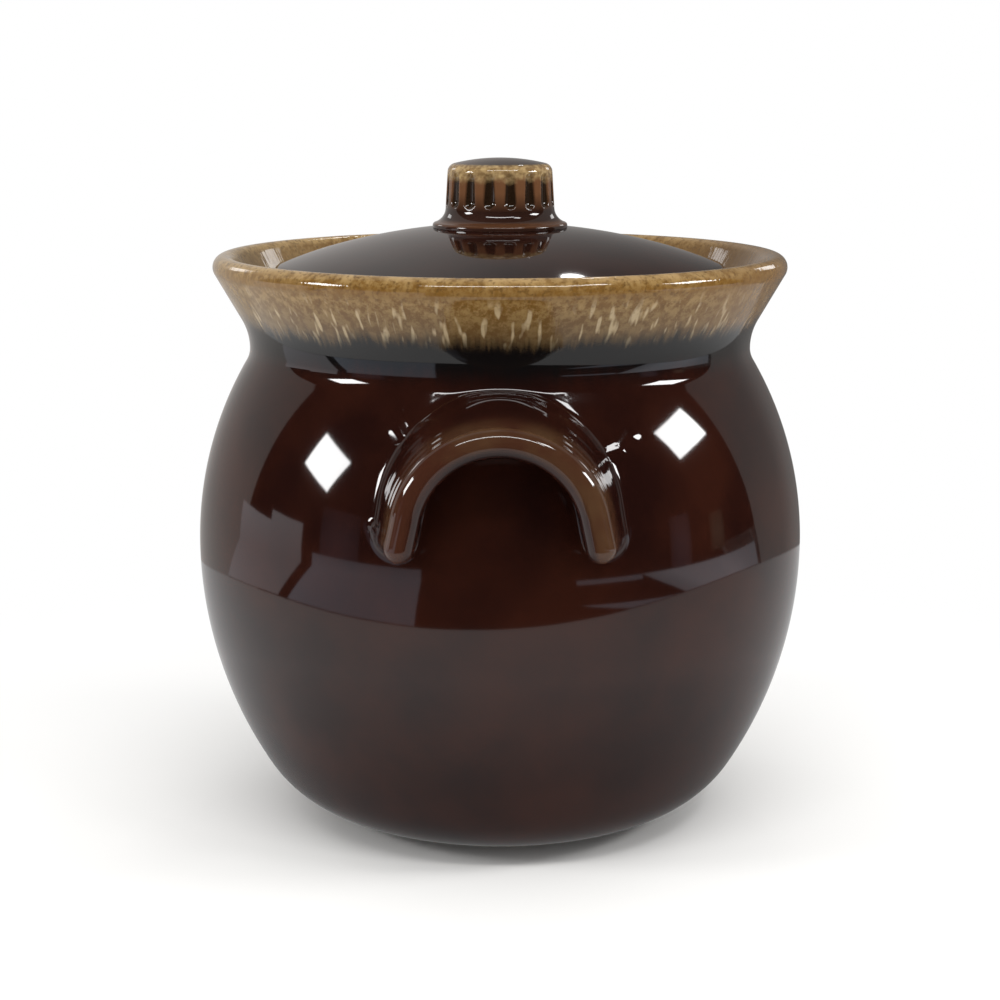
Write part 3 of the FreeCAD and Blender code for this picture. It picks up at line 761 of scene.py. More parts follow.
    def throw(self, name: str, outline: np.ndarray, finish: Finish, **sizes: float) -> bpy.types.Object:
        """Turn an outline into a plain mesh.

        Args:
            name: The new object's name.
            outline: The half outline, as distances from the axis and heights in millimetres.
            finish: What the skin is glazed with.
            sizes: Further inputs of the tree, by label with _ for a space.

        Returns:
            The new object.
        """
        mesh = bpy.data.meshes.new(f"{name}_outline")
        points = [(reach * MM, 0.0, level * MM) for reach, level in outline]
        mesh.from_pydata(points, [(at, at + 1) for at in range(len(points) - 1)], [])
        drawn = stand(f"{name}_outline", mesh)
        wheel = drawn.modifiers.new("Wheel", "NODES")
        wheel.node_group = self.tree
        values = {label.replace("_", " "): value for label, value in sizes.items()}
        values["Finish"] = finish.material()
        for label, value in values.items():
            wheel[self.sockets[label]] = value
        graph = bpy.context.evaluated_depsgraph_get()
        skin = bpy.data.meshes.new_from_object(
            drawn.evaluated_get(graph), preserve_all_data_layers=True, depsgraph=graph
        )
        bpy.data.objects.remove(drawn)
        face_out(skin)
        skin.name = name
        return stand(name, skin)


def face_out(mesh: bpy.types.Mesh) -> None:
    """Turn a closed mesh's faces outwards, going by the sign of its volume.

    Args:
        mesh: The mesh.
    """
    spots = np.empty(len(mesh.vertices) * 3)
    mesh.vertices.foreach_get("co", spots)
    spots = spots.reshape(-1, 3)
    mesh.calc_loop_triangles()
    corners = np.empty(len(mesh.loop_triangles) * 3, dtype=np.int32)
    mesh.loop_triangles.foreach_get("vertices", corners)
    a, b, c = (spots[corners[side::3]] for side in range(3))
    if np.einsum("ij,ij->i", a, np.cross(b, c)).sum() < 0:
        mesh.flip_normals()


@dataclass
class Pot:
    """The pot's body, turned with a foot ring, a round belly, a ledge in the neck and a rolled lip."""

    foot_radius: float = 43.0
    foot_inner_radius: float = 36.5
    foot_recess: float = 1.5
    foot_rounding: float = 1.0
    base_radius: float = 34.5
    belly_arc_radius: float = 121.0
    belly_radius: float = 89.0
    belly_height: float = 82.0
    shoulder_radius: float = 104.5
    neck_lower_radius: float = 8.0
    neck_inset: float = 15.9
    neck_upper_radius: float = 17.5
    lip_overhang: float = 10.2
    lip_rise: float = 26.9
    lip_roll: float = 3.5
    wall: float = 6.5
    floor: float = 7.5
    inner_base_radius: float = 30.0
    neck_wall: float = 10.6
    throat_rounding: float = 4.0
    ledge_depth: float = 13.1
    ledge_rounding: float = 1.5
    break_rounding: float = 0.4
    ledge_edge_rounding: float = 0.8
    segments: int = 320
    wide_step: float = 1.8
    fine_step: float = 0.7
    inner_step: float = 5.0
    recess_step: float = 4.0
    foot_step: float = 1.0
    foot_side_step: float = 0.5
    ledge_step: float = 1.0
    throat_step: float = 1.5
    finish: DripGlaze = DripGlaze("Iron-brown glaze with a pale run at the rim")

    def __post_init__(self) -> None:
        """Work out the centres of the arcs, each of which runs smoothly into the next."""
        base_height = self.foot_recess + self.base_radius
        belly_reach = self.belly_radius - self.belly_arc_radius
        gap = self.belly_arc_radius - self.base_radius
        span = math.sqrt(gap ** 2 - (self.belly_height - base_height) ** 2)
        reach = self.shoulder_radius + self.neck_lower_radius
        self.neck_radius = self.belly_radius - self.neck_inset
        self.neck_height = self.belly_height + math.sqrt(reach ** 2 - (reach - self.neck_inset) ** 2)
        self.lip_height = self.neck_height + self.lip_rise
        self.ledge_height = self.lip_height - self.ledge_depth
        self.throat_radius = self.neck_radius - self.neck_wall
        self.base = (belly_reach + span, base_height)
        self.belly = (belly_reach, self.belly_height)
        self.shoulder = (self.belly_radius - self.shoulder_radius, self.belly_height)
        self.neck_lower = (self.neck_radius + self.neck_lower_radius, self.neck_height)
        self.neck_upper = (self.neck_radius + self.neck_upper_radius, self.neck_height)
        lip_reach = self.neck_radius + self.lip_overhang - self.lip_roll
        self.lip = (lip_reach, self.lip_height - self.lip_roll)

    def outside(self) -> np.ndarray:
        """Follow the wall from the foot, up the outside, over the lip and down the flare to the ledge.

        Returns:
            Points, as distances from the axis and heights.
        """
        turn = math.acos((self.foot_radius - self.base[0]) / self.base_radius)
        low = heading(self.belly, self.base)
        high = heading(self.shoulder, self.neck_lower)
        flare = across(self.neck_upper, self.neck_upper_radius, self.lip, self.lip_roll)
        left, right = flare + math.pi / 2, flare - math.pi / 2
        lip_foot = polar(self.lip, self.lip_roll, right)
        lip_end = polar(self.lip, self.lip_roll, left)
        drop = lip_end[1] - self.ledge_height
        ledge_edge = (lip_end[0] - drop / math.tan(flare), self.ledge_height)
        wide, fine = self.wide_step, self.fine_step
        return chain(
            arc(self.base, self.base_radius, -turn, low, wide),
            arc(self.belly, self.belly_arc_radius, low, 0, wide),
            arc(self.shoulder, self.shoulder_radius, 0, high, wide),
            arc(self.neck_lower, self.neck_lower_radius, high + math.pi, math.pi, fine),
            arc(self.neck_upper, self.neck_upper_radius, math.pi, left, fine),
            line(polar(self.neck_upper, self.neck_upper_radius, left), lip_foot, fine),
            arc(self.lip, self.lip_roll, right, left, fine / 2),
            line(lip_end, ledge_edge, fine),
        )

    def inside(self) -> np.ndarray:
        """Follow the wall from the foot of the throat down the inside to the middle of the floor.

        Returns:
            Points, as distances from the axis and heights.
        """
        shoulder = self.shoulder_radius - self.wall
        belly = self.belly_arc_radius - self.wall
        first = math.acos((self.throat_radius - self.shoulder[0]) / shoulder)
        floor_height = self.foot_recess + self.floor
        corner_height = floor_height + self.inner_base_radius
        gap = belly - self.inner_base_radius
        span = math.sqrt(gap ** 2 - (self.belly_height - corner_height) ** 2)
        corner = (self.belly[0] + span, corner_height)
        low = heading(self.belly, corner)
        step = self.inner_step
        return chain(
            arc(self.shoulder, shoulder, first, 0, step),
            arc(self.belly, belly, 0, low, step),
            arc(corner, self.inner_base_radius, low, -math.pi / 2, step),
            line((corner[0], floor_height), (0, floor_height), step),
        )

    def outline(self) -> np.ndarray:
        """Draw the whole half outline, from under the foot round to the middle of the floor.

        Returns:
            Points, as distances from the axis and heights.
        """
        outside, inside = self.outside(), self.inside()
        under = (self.foot_inner_radius, self.foot_recess)
        inner, outer = (self.foot_inner_radius, 0.0), (self.foot_radius, 0.0)
        ledge_corner = (self.throat_radius, self.ledge_height)
        runs = [
            line((0, self.foot_recess), under, self.recess_step),
            line(under, inner, self.foot_side_step),
            line(inner, outer, self.foot_step),
            line(outer, tuple(outside[0]), self.foot_side_step),
            outside,
            line(tuple(outside[-1]), ledge_corner, self.ledge_step),
            line(ledge_corner, tuple(inside[0]), self.throat_step),
            inside,
        ]
        sizes = [
            self.break_rounding,
            self.foot_rounding,
            self.foot_rounding,
            self.break_rounding,
            self.ledge_edge_rounding,
            self.ledge_rounding,
            self.throat_rounding,
        ]
        return rounded(runs, sizes)

    def gap(self, reach: np.ndarray, level: np.ndarray) -> np.ndarray:
        """How far points lie outside the wall, near the shoulder and the neck.

        Args:
            reach: The points' distances from the axis.
            level: Their heights.

        Returns:
            Distances, less than nothing inside the wall.
        """
        def away(centre: Point, radius: float) -> np.ndarray:
            """How far outside a circle the points are."""
            return np.hypot(reach - centre[0], level - centre[1]) - radius

        belly = away(self.belly, self.belly_arc_radius)
        distance = np.where(level < self.belly_height, belly, away(self.shoulder, self.shoulder_radius))
        high = heading(self.shoulder, self.neck_lower)
        turn = np.arctan2(self.neck_lower[1] - level, self.neck_lower[0] - reach)
        lower = (level < self.neck_height) & (reach < self.neck_lower[0]) & (turn < high)
        distance = np.where(lower, -away(self.neck_lower, self.neck_lower_radius), distance)
        upper = (level >= self.neck_height) & (reach < self.neck_upper[0])
        return np.where(upper, -away(self.neck_upper, self.neck_upper_radius), distance)

    def build(self, wheel: Wheel) -> bpy.types.Object:
        """Turn the body and put it on its body.

        Args:
            wheel: What turns it.

        Returns:
            The new object.
        """
        piece = wheel.throw("bean_pot_body", self.outline(), self.finish, Segments=self.segments)
        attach(piece, Body.POT.value)
        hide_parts("pot_body")
        return piece


# Lugs


def net(values: np.ndarray, origin: np.ndarray, step: float) -> tuple[np.ndarray, np.ndarray]:
    """Skin the zero level of a block of distances with quads, one point to each crossed cell.

    Args:
        values: Distances at the corners of a block of cells.
        origin: Where the first corner is.
        step: How wide a cell is.

    Returns:
        The points, and the quads as rows of four point numbers.
    """
    cells = tuple(size - 1 for size in values.shape)
    total = np.zeros((*cells, 3))
    count = np.zeros(cells)
    ways = []

    # A cell's point is the mean of the places where the skin crosses its edges.
    for axis in range(3):
        first = np.take(values, range(cells[axis]), axis=axis)
        last = np.take(values, range(1, cells[axis] + 1), axis=axis)
        crossed = (first < 0) != (last < 0)
        share = np.where(crossed, first / np.where(crossed, first - last, 1), 0)
        ways.append((crossed, first < 0))
        others = [other for other in range(3) if other != axis]
        for sides in product((0, 1), repeat=2):
            cut = [slice(None)] * 3
            for other, side in zip(others, sides):
                cut[other] = slice(side, side + cells[other])
            hit = crossed[tuple(cut)]
            offset = np.zeros((*cells, 3))
            offset[..., axis] = share[tuple(cut)]
            offset[..., others] = sides
            total += offset * hit[..., None]
            count += hit
    used = count > 0
    numbers = np.full(cells, -1)
    numbers[used] = np.arange(used.sum())
    points = origin + step * (np.argwhere(used) + total[used] / count[used][:, None])

    # Each crossed edge joins the points of the four cells round it.
    quads = []
    for axis, (crossed, rising) in enumerate(ways):
        others = [(axis + 1) % 3, (axis + 2) % 3]
        at = np.argwhere(crossed)
        inner = np.ones(len(at), dtype=bool)
        for other in others:
            inner &= (at[:, other] > 0) & (at[:, other] < cells[other])
        at = at[inner]
        ring = []
        for back in ((1, 1), (0, 1), (0, 0), (1, 0)):
            cell = at.copy()
            cell[:, others] -= back
            ring.append(numbers[tuple(cell.T)])
        quad = np.stack(ring, axis=1)
        quads.append(np.where(rising[tuple(at.T)][:, None], quad, quad[:, ::-1]))
    return points, np.concatenate(quads)


@dataclass(frozen=True)
class Bead:
    """A run of glaze that froze beside the lug: a round-ended streak on the wall, in millimetres."""

    start: tuple[float, float, float]
    end: tuple[float, float, float]
    radius: float

    def gap(self, spots: np.ndarray) -> np.ndarray:
        """How far points lie outside the bead.

        Args:
            spots: The points, one to a row.

        Returns:
            Distances, less than nothing inside the bead.
        """
        start, way = np.array(self.start), np.subtract(self.end, self.start)
        share = np.clip((spots - start) @ way / (way @ way), 0, 1)
        return np.linalg.norm(spots - start - share[..., None] * way, axis=-1) - self.radius


@dataclass
class Lug:
    """A horseshoe lug: a tongue with a round nose, bent over an arch and luted to the shoulder."""

    node: str
    way: int
    reach: float = 101.0
    height: float = 102.5
    arch_radius: float = 24.5
    nose_radius: float = 4.0
    leg_length: float = 8.0
    lean: float = math.radians(6.0)
    draft: float = math.radians(6.0)
    spread: float = math.radians(78.0)
    blend: float = 2.4
    beads: tuple[Bead, ...] = ()

    # The block of cells that the lug is meshed in, and how often its points are moved onto it.
    low_corner: tuple[float, float, float] = (-46.0, -104.0, 82.0)
    high_corner: tuple[float, float, float] = (46.0, -60.0, 147.0)
    step: float = 0.55
    rounds: int = 4
    hair: float = 0.01

    # The skirt of glaze round the lug: its width, its rise where it lies on the wall, and its edge.
    skirt: float = 3.4
    skirt_rise: float = 0.012
    skirt_edge: float = 0.1
    sunk: float = 1.2

    # Where the glaze on the lug is rolled thin, and where the strokes that shaped it show.
    roll_reach: float = 10.0
    roll_edge: float = -2.2
    roll_fade: float = 1.6
    clear_start: float = 1.0
    clear_depth: float = 6.0
    comb_start: float = 8.0
    comb_fade: float = 8.0
    comb_least: float = 0.2

    def tongue(self, spots: np.ndarray) -> tuple[np.ndarray, np.ndarray, np.ndarray]:
        """How far points lie outside the lug alone.

        Args:
            spots: Points of the front lug, one to a row.

        Returns:
            The distances, how far each point lies behind the nose, and how far outside the arch.
        """
        aside = np.abs(spots[..., 0])
        depth = -spots[..., 1]
        rise = spots[..., 2] - self.height
        turned = np.arctan2(aside, rise)

        # How far out from the arch's middle a point lies, and how far down a leg.
        sine, cosine = math.sin(self.spread), math.cos(self.spread)
        in_arch = turned <= self.spread
        out = np.where(in_arch, np.hypot(aside, rise), aside * sine + rise * cosine)
        along = np.where(in_arch, 0.0, aside * cosine - rise * sine)
        beyond = np.maximum(along - self.leg_length, 0.0)

        # The tongue's middle line starts in the nose and leans up towards the wall.
        forward = depth - (self.reach - self.nose_radius)
        above = out - self.arch_radius
        behind = above * math.sin(self.lean) - forward * math.cos(self.lean)
        off = above * math.cos(self.lean) + forward * math.sin(self.lean)
        off = np.hypot(off, beyond)

        # Its flanks run apart from the round nose by the draft.
        flank = off * math.cos(self.draft) - behind * math.sin(self.draft)
        round_nose = behind * math.cos(self.draft) + off * math.sin(self.draft) < 0
        return np.where(round_nose, np.hypot(behind, off), flank) - self.nose_radius, behind, above

    def field(self, spots: np.ndarray, pot: Pot) -> tuple[np.ndarray, np.ndarray]:
        """Distances from the lug and the wall, run softly together.

        Args:
            spots: Points, one to a row.
            pot: The pot that the lug sits on.

        Returns:
            The distances from both, and from the lug less those from the wall.
        """
        wall = pot.gap(np.hypot(spots[..., 0], spots[..., 1]), spots[..., 2])
        lug = np.minimum.reduce([self.tongue(spots)[0], *(bead.gap(spots) for bead in self.beads)])
        share = np.maximum(self.blend - np.abs(lug - wall), 0) / self.blend
        return np.minimum(lug, wall) - share ** 3 * self.blend / 6, lug - wall

    def slope(self, spots: np.ndarray, pot: Pot) -> np.ndarray:
        """Find the way in which the distances grow fastest, at each point.

        Args:
            spots: Points, one to a row.
            pot: The pot that the lug sits on.

        Returns:
            A way for each point, one to a row.
        """
        sides = []
        for shift in np.eye(3) * self.hair:
            ahead, behind = (self.field(spots + way, pot)[0] for way in (shift, -shift))
            sides.append((ahead - behind) / (2 * self.hair))
        return np.stack(sides, axis=-1)

    def skin(self, pot: Pot) -> tuple[np.ndarray, np.ndarray, dict[str, np.ndarray], np.ndarray]:
        """Skin the lug and the skirt of glaze that runs from it onto the wall.

        Args:
            pot: The pot that the lug sits on.

        Returns:
            The points, their normals, their attributes by name, and the quads.
        """
        corners = zip(self.low_corner, self.high_corner)
        sides = [np.arange(low, high, self.step) for low, high in corners]
        block = np.stack(np.meshgrid(*sides, indexing="ij"), axis=-1)
        spots, quads = net(self.field(block, pot)[0], np.array(self.low_corner), self.step)
        for _ in range(self.rounds):
            distance = self.field(spots, pot)[0]
            slope = self.slope(spots, pot)
            spots = spots - slope * (distance / (slope ** 2).sum(axis=-1))[:, None]
        beyond = self.field(spots, pot)[1]
        quads = quads[(beyond[quads] < self.skirt).all(axis=1)]
        kept, quads = np.unique(quads, return_inverse=True)
        spots, quads = spots[kept], quads.reshape(-1, 4)
        normals = self.slope(spots, pot)
        normals /= np.linalg.norm(normals, axis=1)[:, None]
        wall = pot.gap(np.hypot(spots[:, 0], spots[:, 1]), spots[:, 2])
        _, behind, above = self.tongue(spots)
        thin = np.clip(1 - behind / self.roll_reach, 0, 1)
        clear = np.clip((wall - self.clear_start) / self.clear_depth, 0, 1)
        rolled = clear * np.clip((above - self.roll_edge) / self.roll_fade, 0, 1)
        flank = (np.abs(spots[:, 0]) - self.comb_start) / self.comb_fade
        marks = {
            "roll": thin ** 2 * (3 - 2 * thin) * rolled,
            "rib": np.where(behind > 0, np.sign(above) * behind, 0) + above,
            "combed": clear * np.clip(flank, self.comb_least, 1),
        }
        rise = self.skirt_rise * np.clip(1 - wall / self.skirt_edge, 0, 1)
        spots = spots + normals * rise[:, None]
        return spots, normals, marks, quads

    def build(self, pot: Pot, material: bpy.types.Material) -> bpy.types.Object:
        """Make the lug's mesh, closed inside the wall, and put it on its body.

        Args:
            pot: The pot that the lug sits on.
            material: The pot's own glaze.

        Returns:
            The new object.
        """
        spots, normals, marks, quads = self.skin(pot)
        turn = np.array([self.way, self.way, 1.0])
        mesh = bpy.data.meshes.new(self.node)
        mesh.from_pydata(spots * turn * MM, [], quads.tolist())
        for name, values in marks.items():
            mesh.attributes.new(name, "FLOAT", "POINT").data.foreach_set("value", values)
        self.close(mesh)
        hidden = np.zeros((len(mesh.vertices) - len(spots), 3))
        ways = np.concatenate([normals * turn, hidden])
        mesh.shade_smooth()
        mesh.normals_split_custom_set_from_vertices(ways.tolist())
        mesh.materials.append(material)
        piece = stand(f"horseshoe_lug_{self.node.split('_')[1]}", mesh)
        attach(piece, Body.POT.value)
        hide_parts(self.node)
        return piece

    def close(self, mesh: bpy.types.Mesh) -> None:
        """Turn the skirt's edge into the wall and fill the back.

        Args:
            mesh: The open skin of the lug.
        """
        build = bmesh.new()
        build.from_mesh(mesh)
        rim = [edge for edge in build.edges if edge.is_boundary]
        grown = bmesh.ops.extrude_edge_only(build, edges=rim)["geom"]
        for point in (item for item in grown if isinstance(item, bmesh.types.BMVert)):
            inward = Vector((point.co.x, point.co.y, 0)).normalized()
            point.co -= inward * self.sunk * MM
        back = [item for item in grown if isinstance(item, bmesh.types.BMEdge)]
        face = Vector((0, self.way, 0))
        bmesh.ops.triangle_fill(build, use_beauty=True, edges=back, normal=face)

        self.settle(build, len(mesh.polygons))
        build.to_mesh(mesh)
        build.free()

    def settle(self, build: bmesh.types.BMesh, kept: int) -> None:
        """Put the faces that were added to a mesh in the same order each time.

        Args:
            build: The mesh.
            kept: How many faces it had before. These stay first.
        """
        def place(face: bmesh.types.BMFace) -> int:
            """A face's old place, or one that follows from its first edge."""
            first, last = (point.index for point in face.verts[:2])
            return face.index if face.index < kept else kept + first * len(build.verts) + last

        build.verts.index_update()
        build.faces.index_update()
        build.faces.sort(key=place)


# The runs of glaze that froze beside the front lug: a hook on its right and two nubs on its left.
FROZEN_RUNS = (
    Bead((27.1, -74.8, 118.8), (30.5, -73.2, 119.8), 2.85),
    Bead((30.5, -73.2, 119.8), (33.2, -70.2, 123.0), 2.7),
    Bead((-26.2, -71.9, 125.5), (-24.8, -73.6, 123.4), 2.85),
    Bead((-31.6, -79.8, 101.7), (-30.3, -84.0, 100.4), 2.2),
)


# Lid and knob


@dataclass
class Lid:
    """The lid: a shallow dome with a bare seat and a flange that hangs in the throat."""

    radius: float = 66.0
    seat_height: float = 153.46
    side_height: float = 6.9
    dome_radius: float = 188.0
    edge_radius: float = 3.5
    thickness: float = 5.5
    flange_radius: float = 61.3
    flange_width: float = 4.0
    flange_depth: float = 7.0
    rounding: float = 1.2
    hollow_rounding: float = 3.0
    break_rounding: float = 0.3
    segments: int = 320
    top_step: float = 1.2
    edge_step: float = 0.4
    side_step: float = 0.8
    flange_step: float = 1.0
    hollow_step: float = 2.5
    finish: LidGlaze = LidGlaze("Iron-brown glaze wiped off the seat")

    def __post_init__(self) -> None:
        """Work out where the dome's centre is."""
        self.edge = (self.radius - self.edge_radius, self.seat_height + self.side_height)
        drop = math.sqrt((self.dome_radius - self.edge_radius) ** 2 - self.edge[0] ** 2)
        self.centre = (0.0, self.edge[1] - drop)
        self.apex = self.centre[1] + self.dome_radius

    def outline(self) -> np.ndarray:
        """Draw the half outline, from the top of the dome round to the middle of the hollow.

        Returns:
            Points, as distances from the axis and heights.
        """
        hollow = self.dome_radius - self.thickness
        inner = self.flange_radius - self.flange_width
        brink = math.acos(inner / hollow)
        foot = self.seat_height - self.flange_depth
        shoulder = heading(self.centre, self.edge)
        corners = [
            (self.radius, self.seat_height),
            (self.flange_radius, self.seat_height),
            (self.flange_radius, foot),
            (inner, foot),
            polar(self.centre, hollow, brink),
        ]
        top = chain(
            arc(self.centre, self.dome_radius, math.pi / 2, shoulder, self.top_step),
            arc(self.edge, self.edge_radius, shoulder, 0, self.edge_step),
            line((self.radius, self.edge[1]), corners[0], self.side_step),
        )
        runs = [
            top,
            *(line(first, last, self.flange_step) for first, last in zip(corners, corners[1:])),
            arc(self.centre, hollow, brink, math.pi / 2, self.hollow_step),
        ]
        sizes = [self.rounding, self.break_rounding, self.rounding, self.rounding, self.hollow_rounding]
        return rounded(runs, sizes)

    def build(self, wheel: Wheel) -> bpy.types.Object:
        """Turn the lid and put it on its body.

        Args:
            wheel: What turns it.

        Returns:
            The new object.
        """
        piece = wheel.throw("lid_dome_glazed", self.outline(), self.finish, Segments=self.segments)
        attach(piece, Body.LID.value)
        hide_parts("lid_dome")
        return piece


@dataclass
class Knob:
    """The knob: a turned grip with a flared foot, fluted all round."""

    height: float = 19.0
    grip_radius: float = 15.8
    foot_spread: float = 3.8
    foot_thickness: float = 1.4
    foot_rounding: float = 0.8
    flare_radius: float = 4.5
    taper: float = 0.6
    roll_radius: float = 2.6
    crown_radius: float = 57.0
    flutes: int = 16
    flute_radius: float = 2.2
    flute_depth: float = 1.2
    flute_rise: float = 4.8
    flute_drop: float = 3.4
    steps_per_flute: int = 24
    seam_rounding: float = 0.15
    under_step: float = 2.0
    flare_step: float = 0.3
    side_step: float = 0.25
    crown_step: float = 0.8
    finish: KnobGlaze = KnobGlaze("Pale and brown glaze over flutes")

    def outline(self, lid: Lid) -> np.ndarray:
        """The half outline, from the middle of the foot round to the top of the crown.

        Args:
            lid: The lid that the knob sits on.

        Returns:
            Points, as distances from the axis and heights.
        """
        foot_radius = self.grip_radius + self.foot_spread
        seat = lid.centre[1] + math.sqrt(lid.dome_radius ** 2 - foot_radius ** 2)
        rim = (foot_radius, seat + self.foot_thickness)
        reach = self.grip_radius + self.flare_radius
        rise = math.sqrt(self.flare_radius ** 2 - (reach - foot_radius) ** 2)
        flare = (reach, rim[1] + rise)
        crown = (0.0, lid.apex + self.height - self.crown_radius)
        roll_reach = self.grip_radius - self.taper - self.roll_radius
        roll_rise = math.sqrt((self.crown_radius - self.roll_radius) ** 2 - roll_reach ** 2)
        roll = (roll_reach, crown[1] + roll_rise)
        grip = across(flare, self.flare_radius, roll, self.roll_radius)
        left, right = grip + math.pi / 2, grip - math.pi / 2
        upper = heading(crown, roll)
        side = chain(
            arc(flare, self.flare_radius, heading(flare, rim) % math.tau, left, self.flare_step),
            line(polar(flare, self.flare_radius, left), polar(roll, self.roll_radius, right), self.side_step),
            arc(roll, self.roll_radius, right, upper, self.side_step),
            arc(crown, self.crown_radius, upper, math.pi / 2, self.crown_step),
        )
        edge = (foot_radius, seat)
        under = arc(lid.centre, lid.dome_radius, math.pi / 2, heading(lid.centre, edge), self.under_step)
        runs = [under, line(edge, rim, self.flare_step), side]
        return rounded(runs, [self.seam_rounding, self.foot_rounding])

    def build(self, wheel: Wheel, lid: Lid) -> bpy.types.Object:
        """Turn and flute the knob and put it on its body.

        Args:
            wheel: What turns it.
            lid: The lid that the knob sits on.

        Returns:
            The new object.
        """
        piece = wheel.throw(
            "lid_knob_glazed",
            self.outline(lid),
            self.finish,
            Segments=self.flutes * self.steps_per_flute,
            Flutes=self.flutes,
            Flute_reach=(self.grip_radius - self.flute_depth + self.flute_radius) * MM,
            Flute_radius=self.flute_radius * MM,
            Flute_foot=(lid.apex + self.flute_rise) * MM,
            Flute_head=(lid.apex + self.height - self.flute_drop) * MM,
        )
        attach(piece, Body.LID.value)
        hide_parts("lid_knob")
        return piece


# Studio


@dataclass(frozen=True)
class Softbox:
    """A flat lamp that looks at the pot, and shows in its glaze as a window of light.

    Its angles are in degrees, and its size and distance in metres.
    """

    name: str
    azimuth: float
    elevation: float
    roll: float
    size: Point
    radiance: float = 20.0
    oval: bool = False
    distance: float = 1.0
    aim: float = 0.1

    def build(self) -> None:
        """Hang the lamp, with its azimuth measured from the front towards +X."""
        lamp = bpy.data.lights.new(self.name, "AREA")
        lamp.shape = "ELLIPSE" if self.oval else "RECTANGLE"
        lamp.size, lamp.size_y = self.size
        lamp.energy = self.radiance * math.pi * self.size[0] * self.size[1]
        azimuth, elevation = math.radians(self.azimuth), math.radians(self.elevation)
        way = Vector((
            math.sin(azimuth) * math.cos(elevation),
            -math.cos(azimuth) * math.cos(elevation),
            math.sin(elevation),
        ))
        spin = way.to_track_quat("Z", "Y").to_matrix().to_4x4()
        turned = Matrix.Rotation(math.radians(self.roll), 4, "Z")
        place = Matrix.Translation(way * self.distance + Vector((0, 0, self.aim)))
        made = stand(self.name, lamp)
        made.matrix_world = place @ spin @ turned
        made.visible_camera = False


@dataclass(frozen=True)
class Window:
    """A bright pane with four corners in metres, which lights the pot and shows in its glaze."""

    name: str
    corners: tuple[tuple[float, float, float], ...]
    radiance: float = 20.0

    def build(self) -> None:
        """Hang the pane."""
        mesh = bpy.data.meshes.new(self.name)
        mesh.from_pydata(self.corners, [], [(0, 1, 2, 3)])
        mesh.materials.append(glowing(self.name, {"Color": WHITE, "Strength": self.radiance}))
        pane = stand(self.name, mesh)
        pane.visible_camera = False


def glowing(name: str, inputs: dict, strength: str = "") -> bpy.types.Material:
    """Make a surface that only glows.

    Args:
        name: The material's name.
        inputs: The emission's inputs by name.
        strength: The attribute that its strength is read from, if there is one.

    Returns:
        The material.
    """
    made = bpy.data.materials.new(name)
    tree = blank(made)
    if strength:
        inputs = inputs | {"Strength": add(tree, "ShaderNodeAttribute", attribute_name=strength)["Fac"]}
    light = add(tree, "ShaderNodeEmission", inputs)[0]
    add(tree, "ShaderNodeOutputMaterial", {"Surface": light})
    return made


@dataclass(frozen=True)
class Row:
    """One edge of a screen's strips: an ellipse in metres, its share of the glow and of the turn."""

    half: Point
    level: float
    share: float = 1.0
    centre: Point = (0.0, 0.0)
    squeeze: float = 1.0


@dataclass(frozen=True)
class Screen:
    """A part of the room round the pot. It shows in the glaze alone and throws no light.

    Each pair of `glow` is an azimuth from the front towards +X, and how brightly it glows there.
    """

    # The kinds of ray that don't see a screen.
    BLIND = ("camera", "diffuse", "transmission", "volume_scatter", "shadow")

    name: str
    glow: tuple[Point, ...]
    rows: tuple[Row, ...]
    tint: str = "#ffffff"
    steps: int = 72

    def build(self) -> None:
        """Make the screen's strips, with its glow as an attribute."""
        turns, tones = zip(*self.glow)
        azimuths = np.linspace(turns[0], turns[-1], self.steps + 1)
        tone = np.interp(azimuths, turns, tones)
        points = np.concatenate([
            np.stack([
                row.centre[0] + row.half[0] * np.sin(np.radians(azimuths * row.squeeze)),
                row.centre[1] - row.half[1] * np.cos(np.radians(azimuths * row.squeeze)),
                np.full_like(azimuths, row.level),
            ], axis=1)
            for row in self.rows
        ])
        wide = self.steps + 1
        faces = [
            (at, at + 1, at + 1 + wide, at + wide)
            for row in range(len(self.rows) - 1)
            for at in range(row * wide, row * wide + self.steps)
        ]
        mesh = bpy.data.meshes.new(self.name)
        mesh.from_pydata(points.tolist(), [], faces)
        layer = mesh.attributes.new("glow", "FLOAT", "POINT")
        layer.data.foreach_set("value", np.concatenate([tone * row.share for row in self.rows]))
        hung = stand(self.name, mesh)
        for ray in self.BLIND:
            setattr(hung, f"visible_{ray}", False)
        made = glowing(self.name, {"Color": linear(self.tint)}, "glow")
        made.cycles.emission_sampling = "NONE"
        mesh.materials.append(made)


def around(reach: float, level: float, share: float = 1.0, squeeze: float = 1.0) -> Row:
    """A round row with its middle on the pot's axis."""
    return Row((reach, reach), level, share, squeeze=squeeze)


# The table's edge round the pot, and the near and the far edge of the mats that lie past it.
TABLE_EDGE = Row((0.42, 0.325), 0.0015, 1.0, (0.06, 0.03))
MAT_EDGE = Row((0.42, 0.325), 0.003, 1.0, (0.06, 0.03))
MAT_END = around(0.85, 0.003)

# The two halves of the room, each from the table's edge up a wall to the middle of the ceiling.
FRONT = (TABLE_EDGE, around(1.6, 0.0015), around(1.6, 1.1, 1.0, 0.9), around(0.001, 1.8, 1.0, 0.85))
BEHIND = (TABLE_EDGE, around(1.7, 0.0015), around(1.7, 1.1, 0.9), around(0.001, 1.9, 0.7))


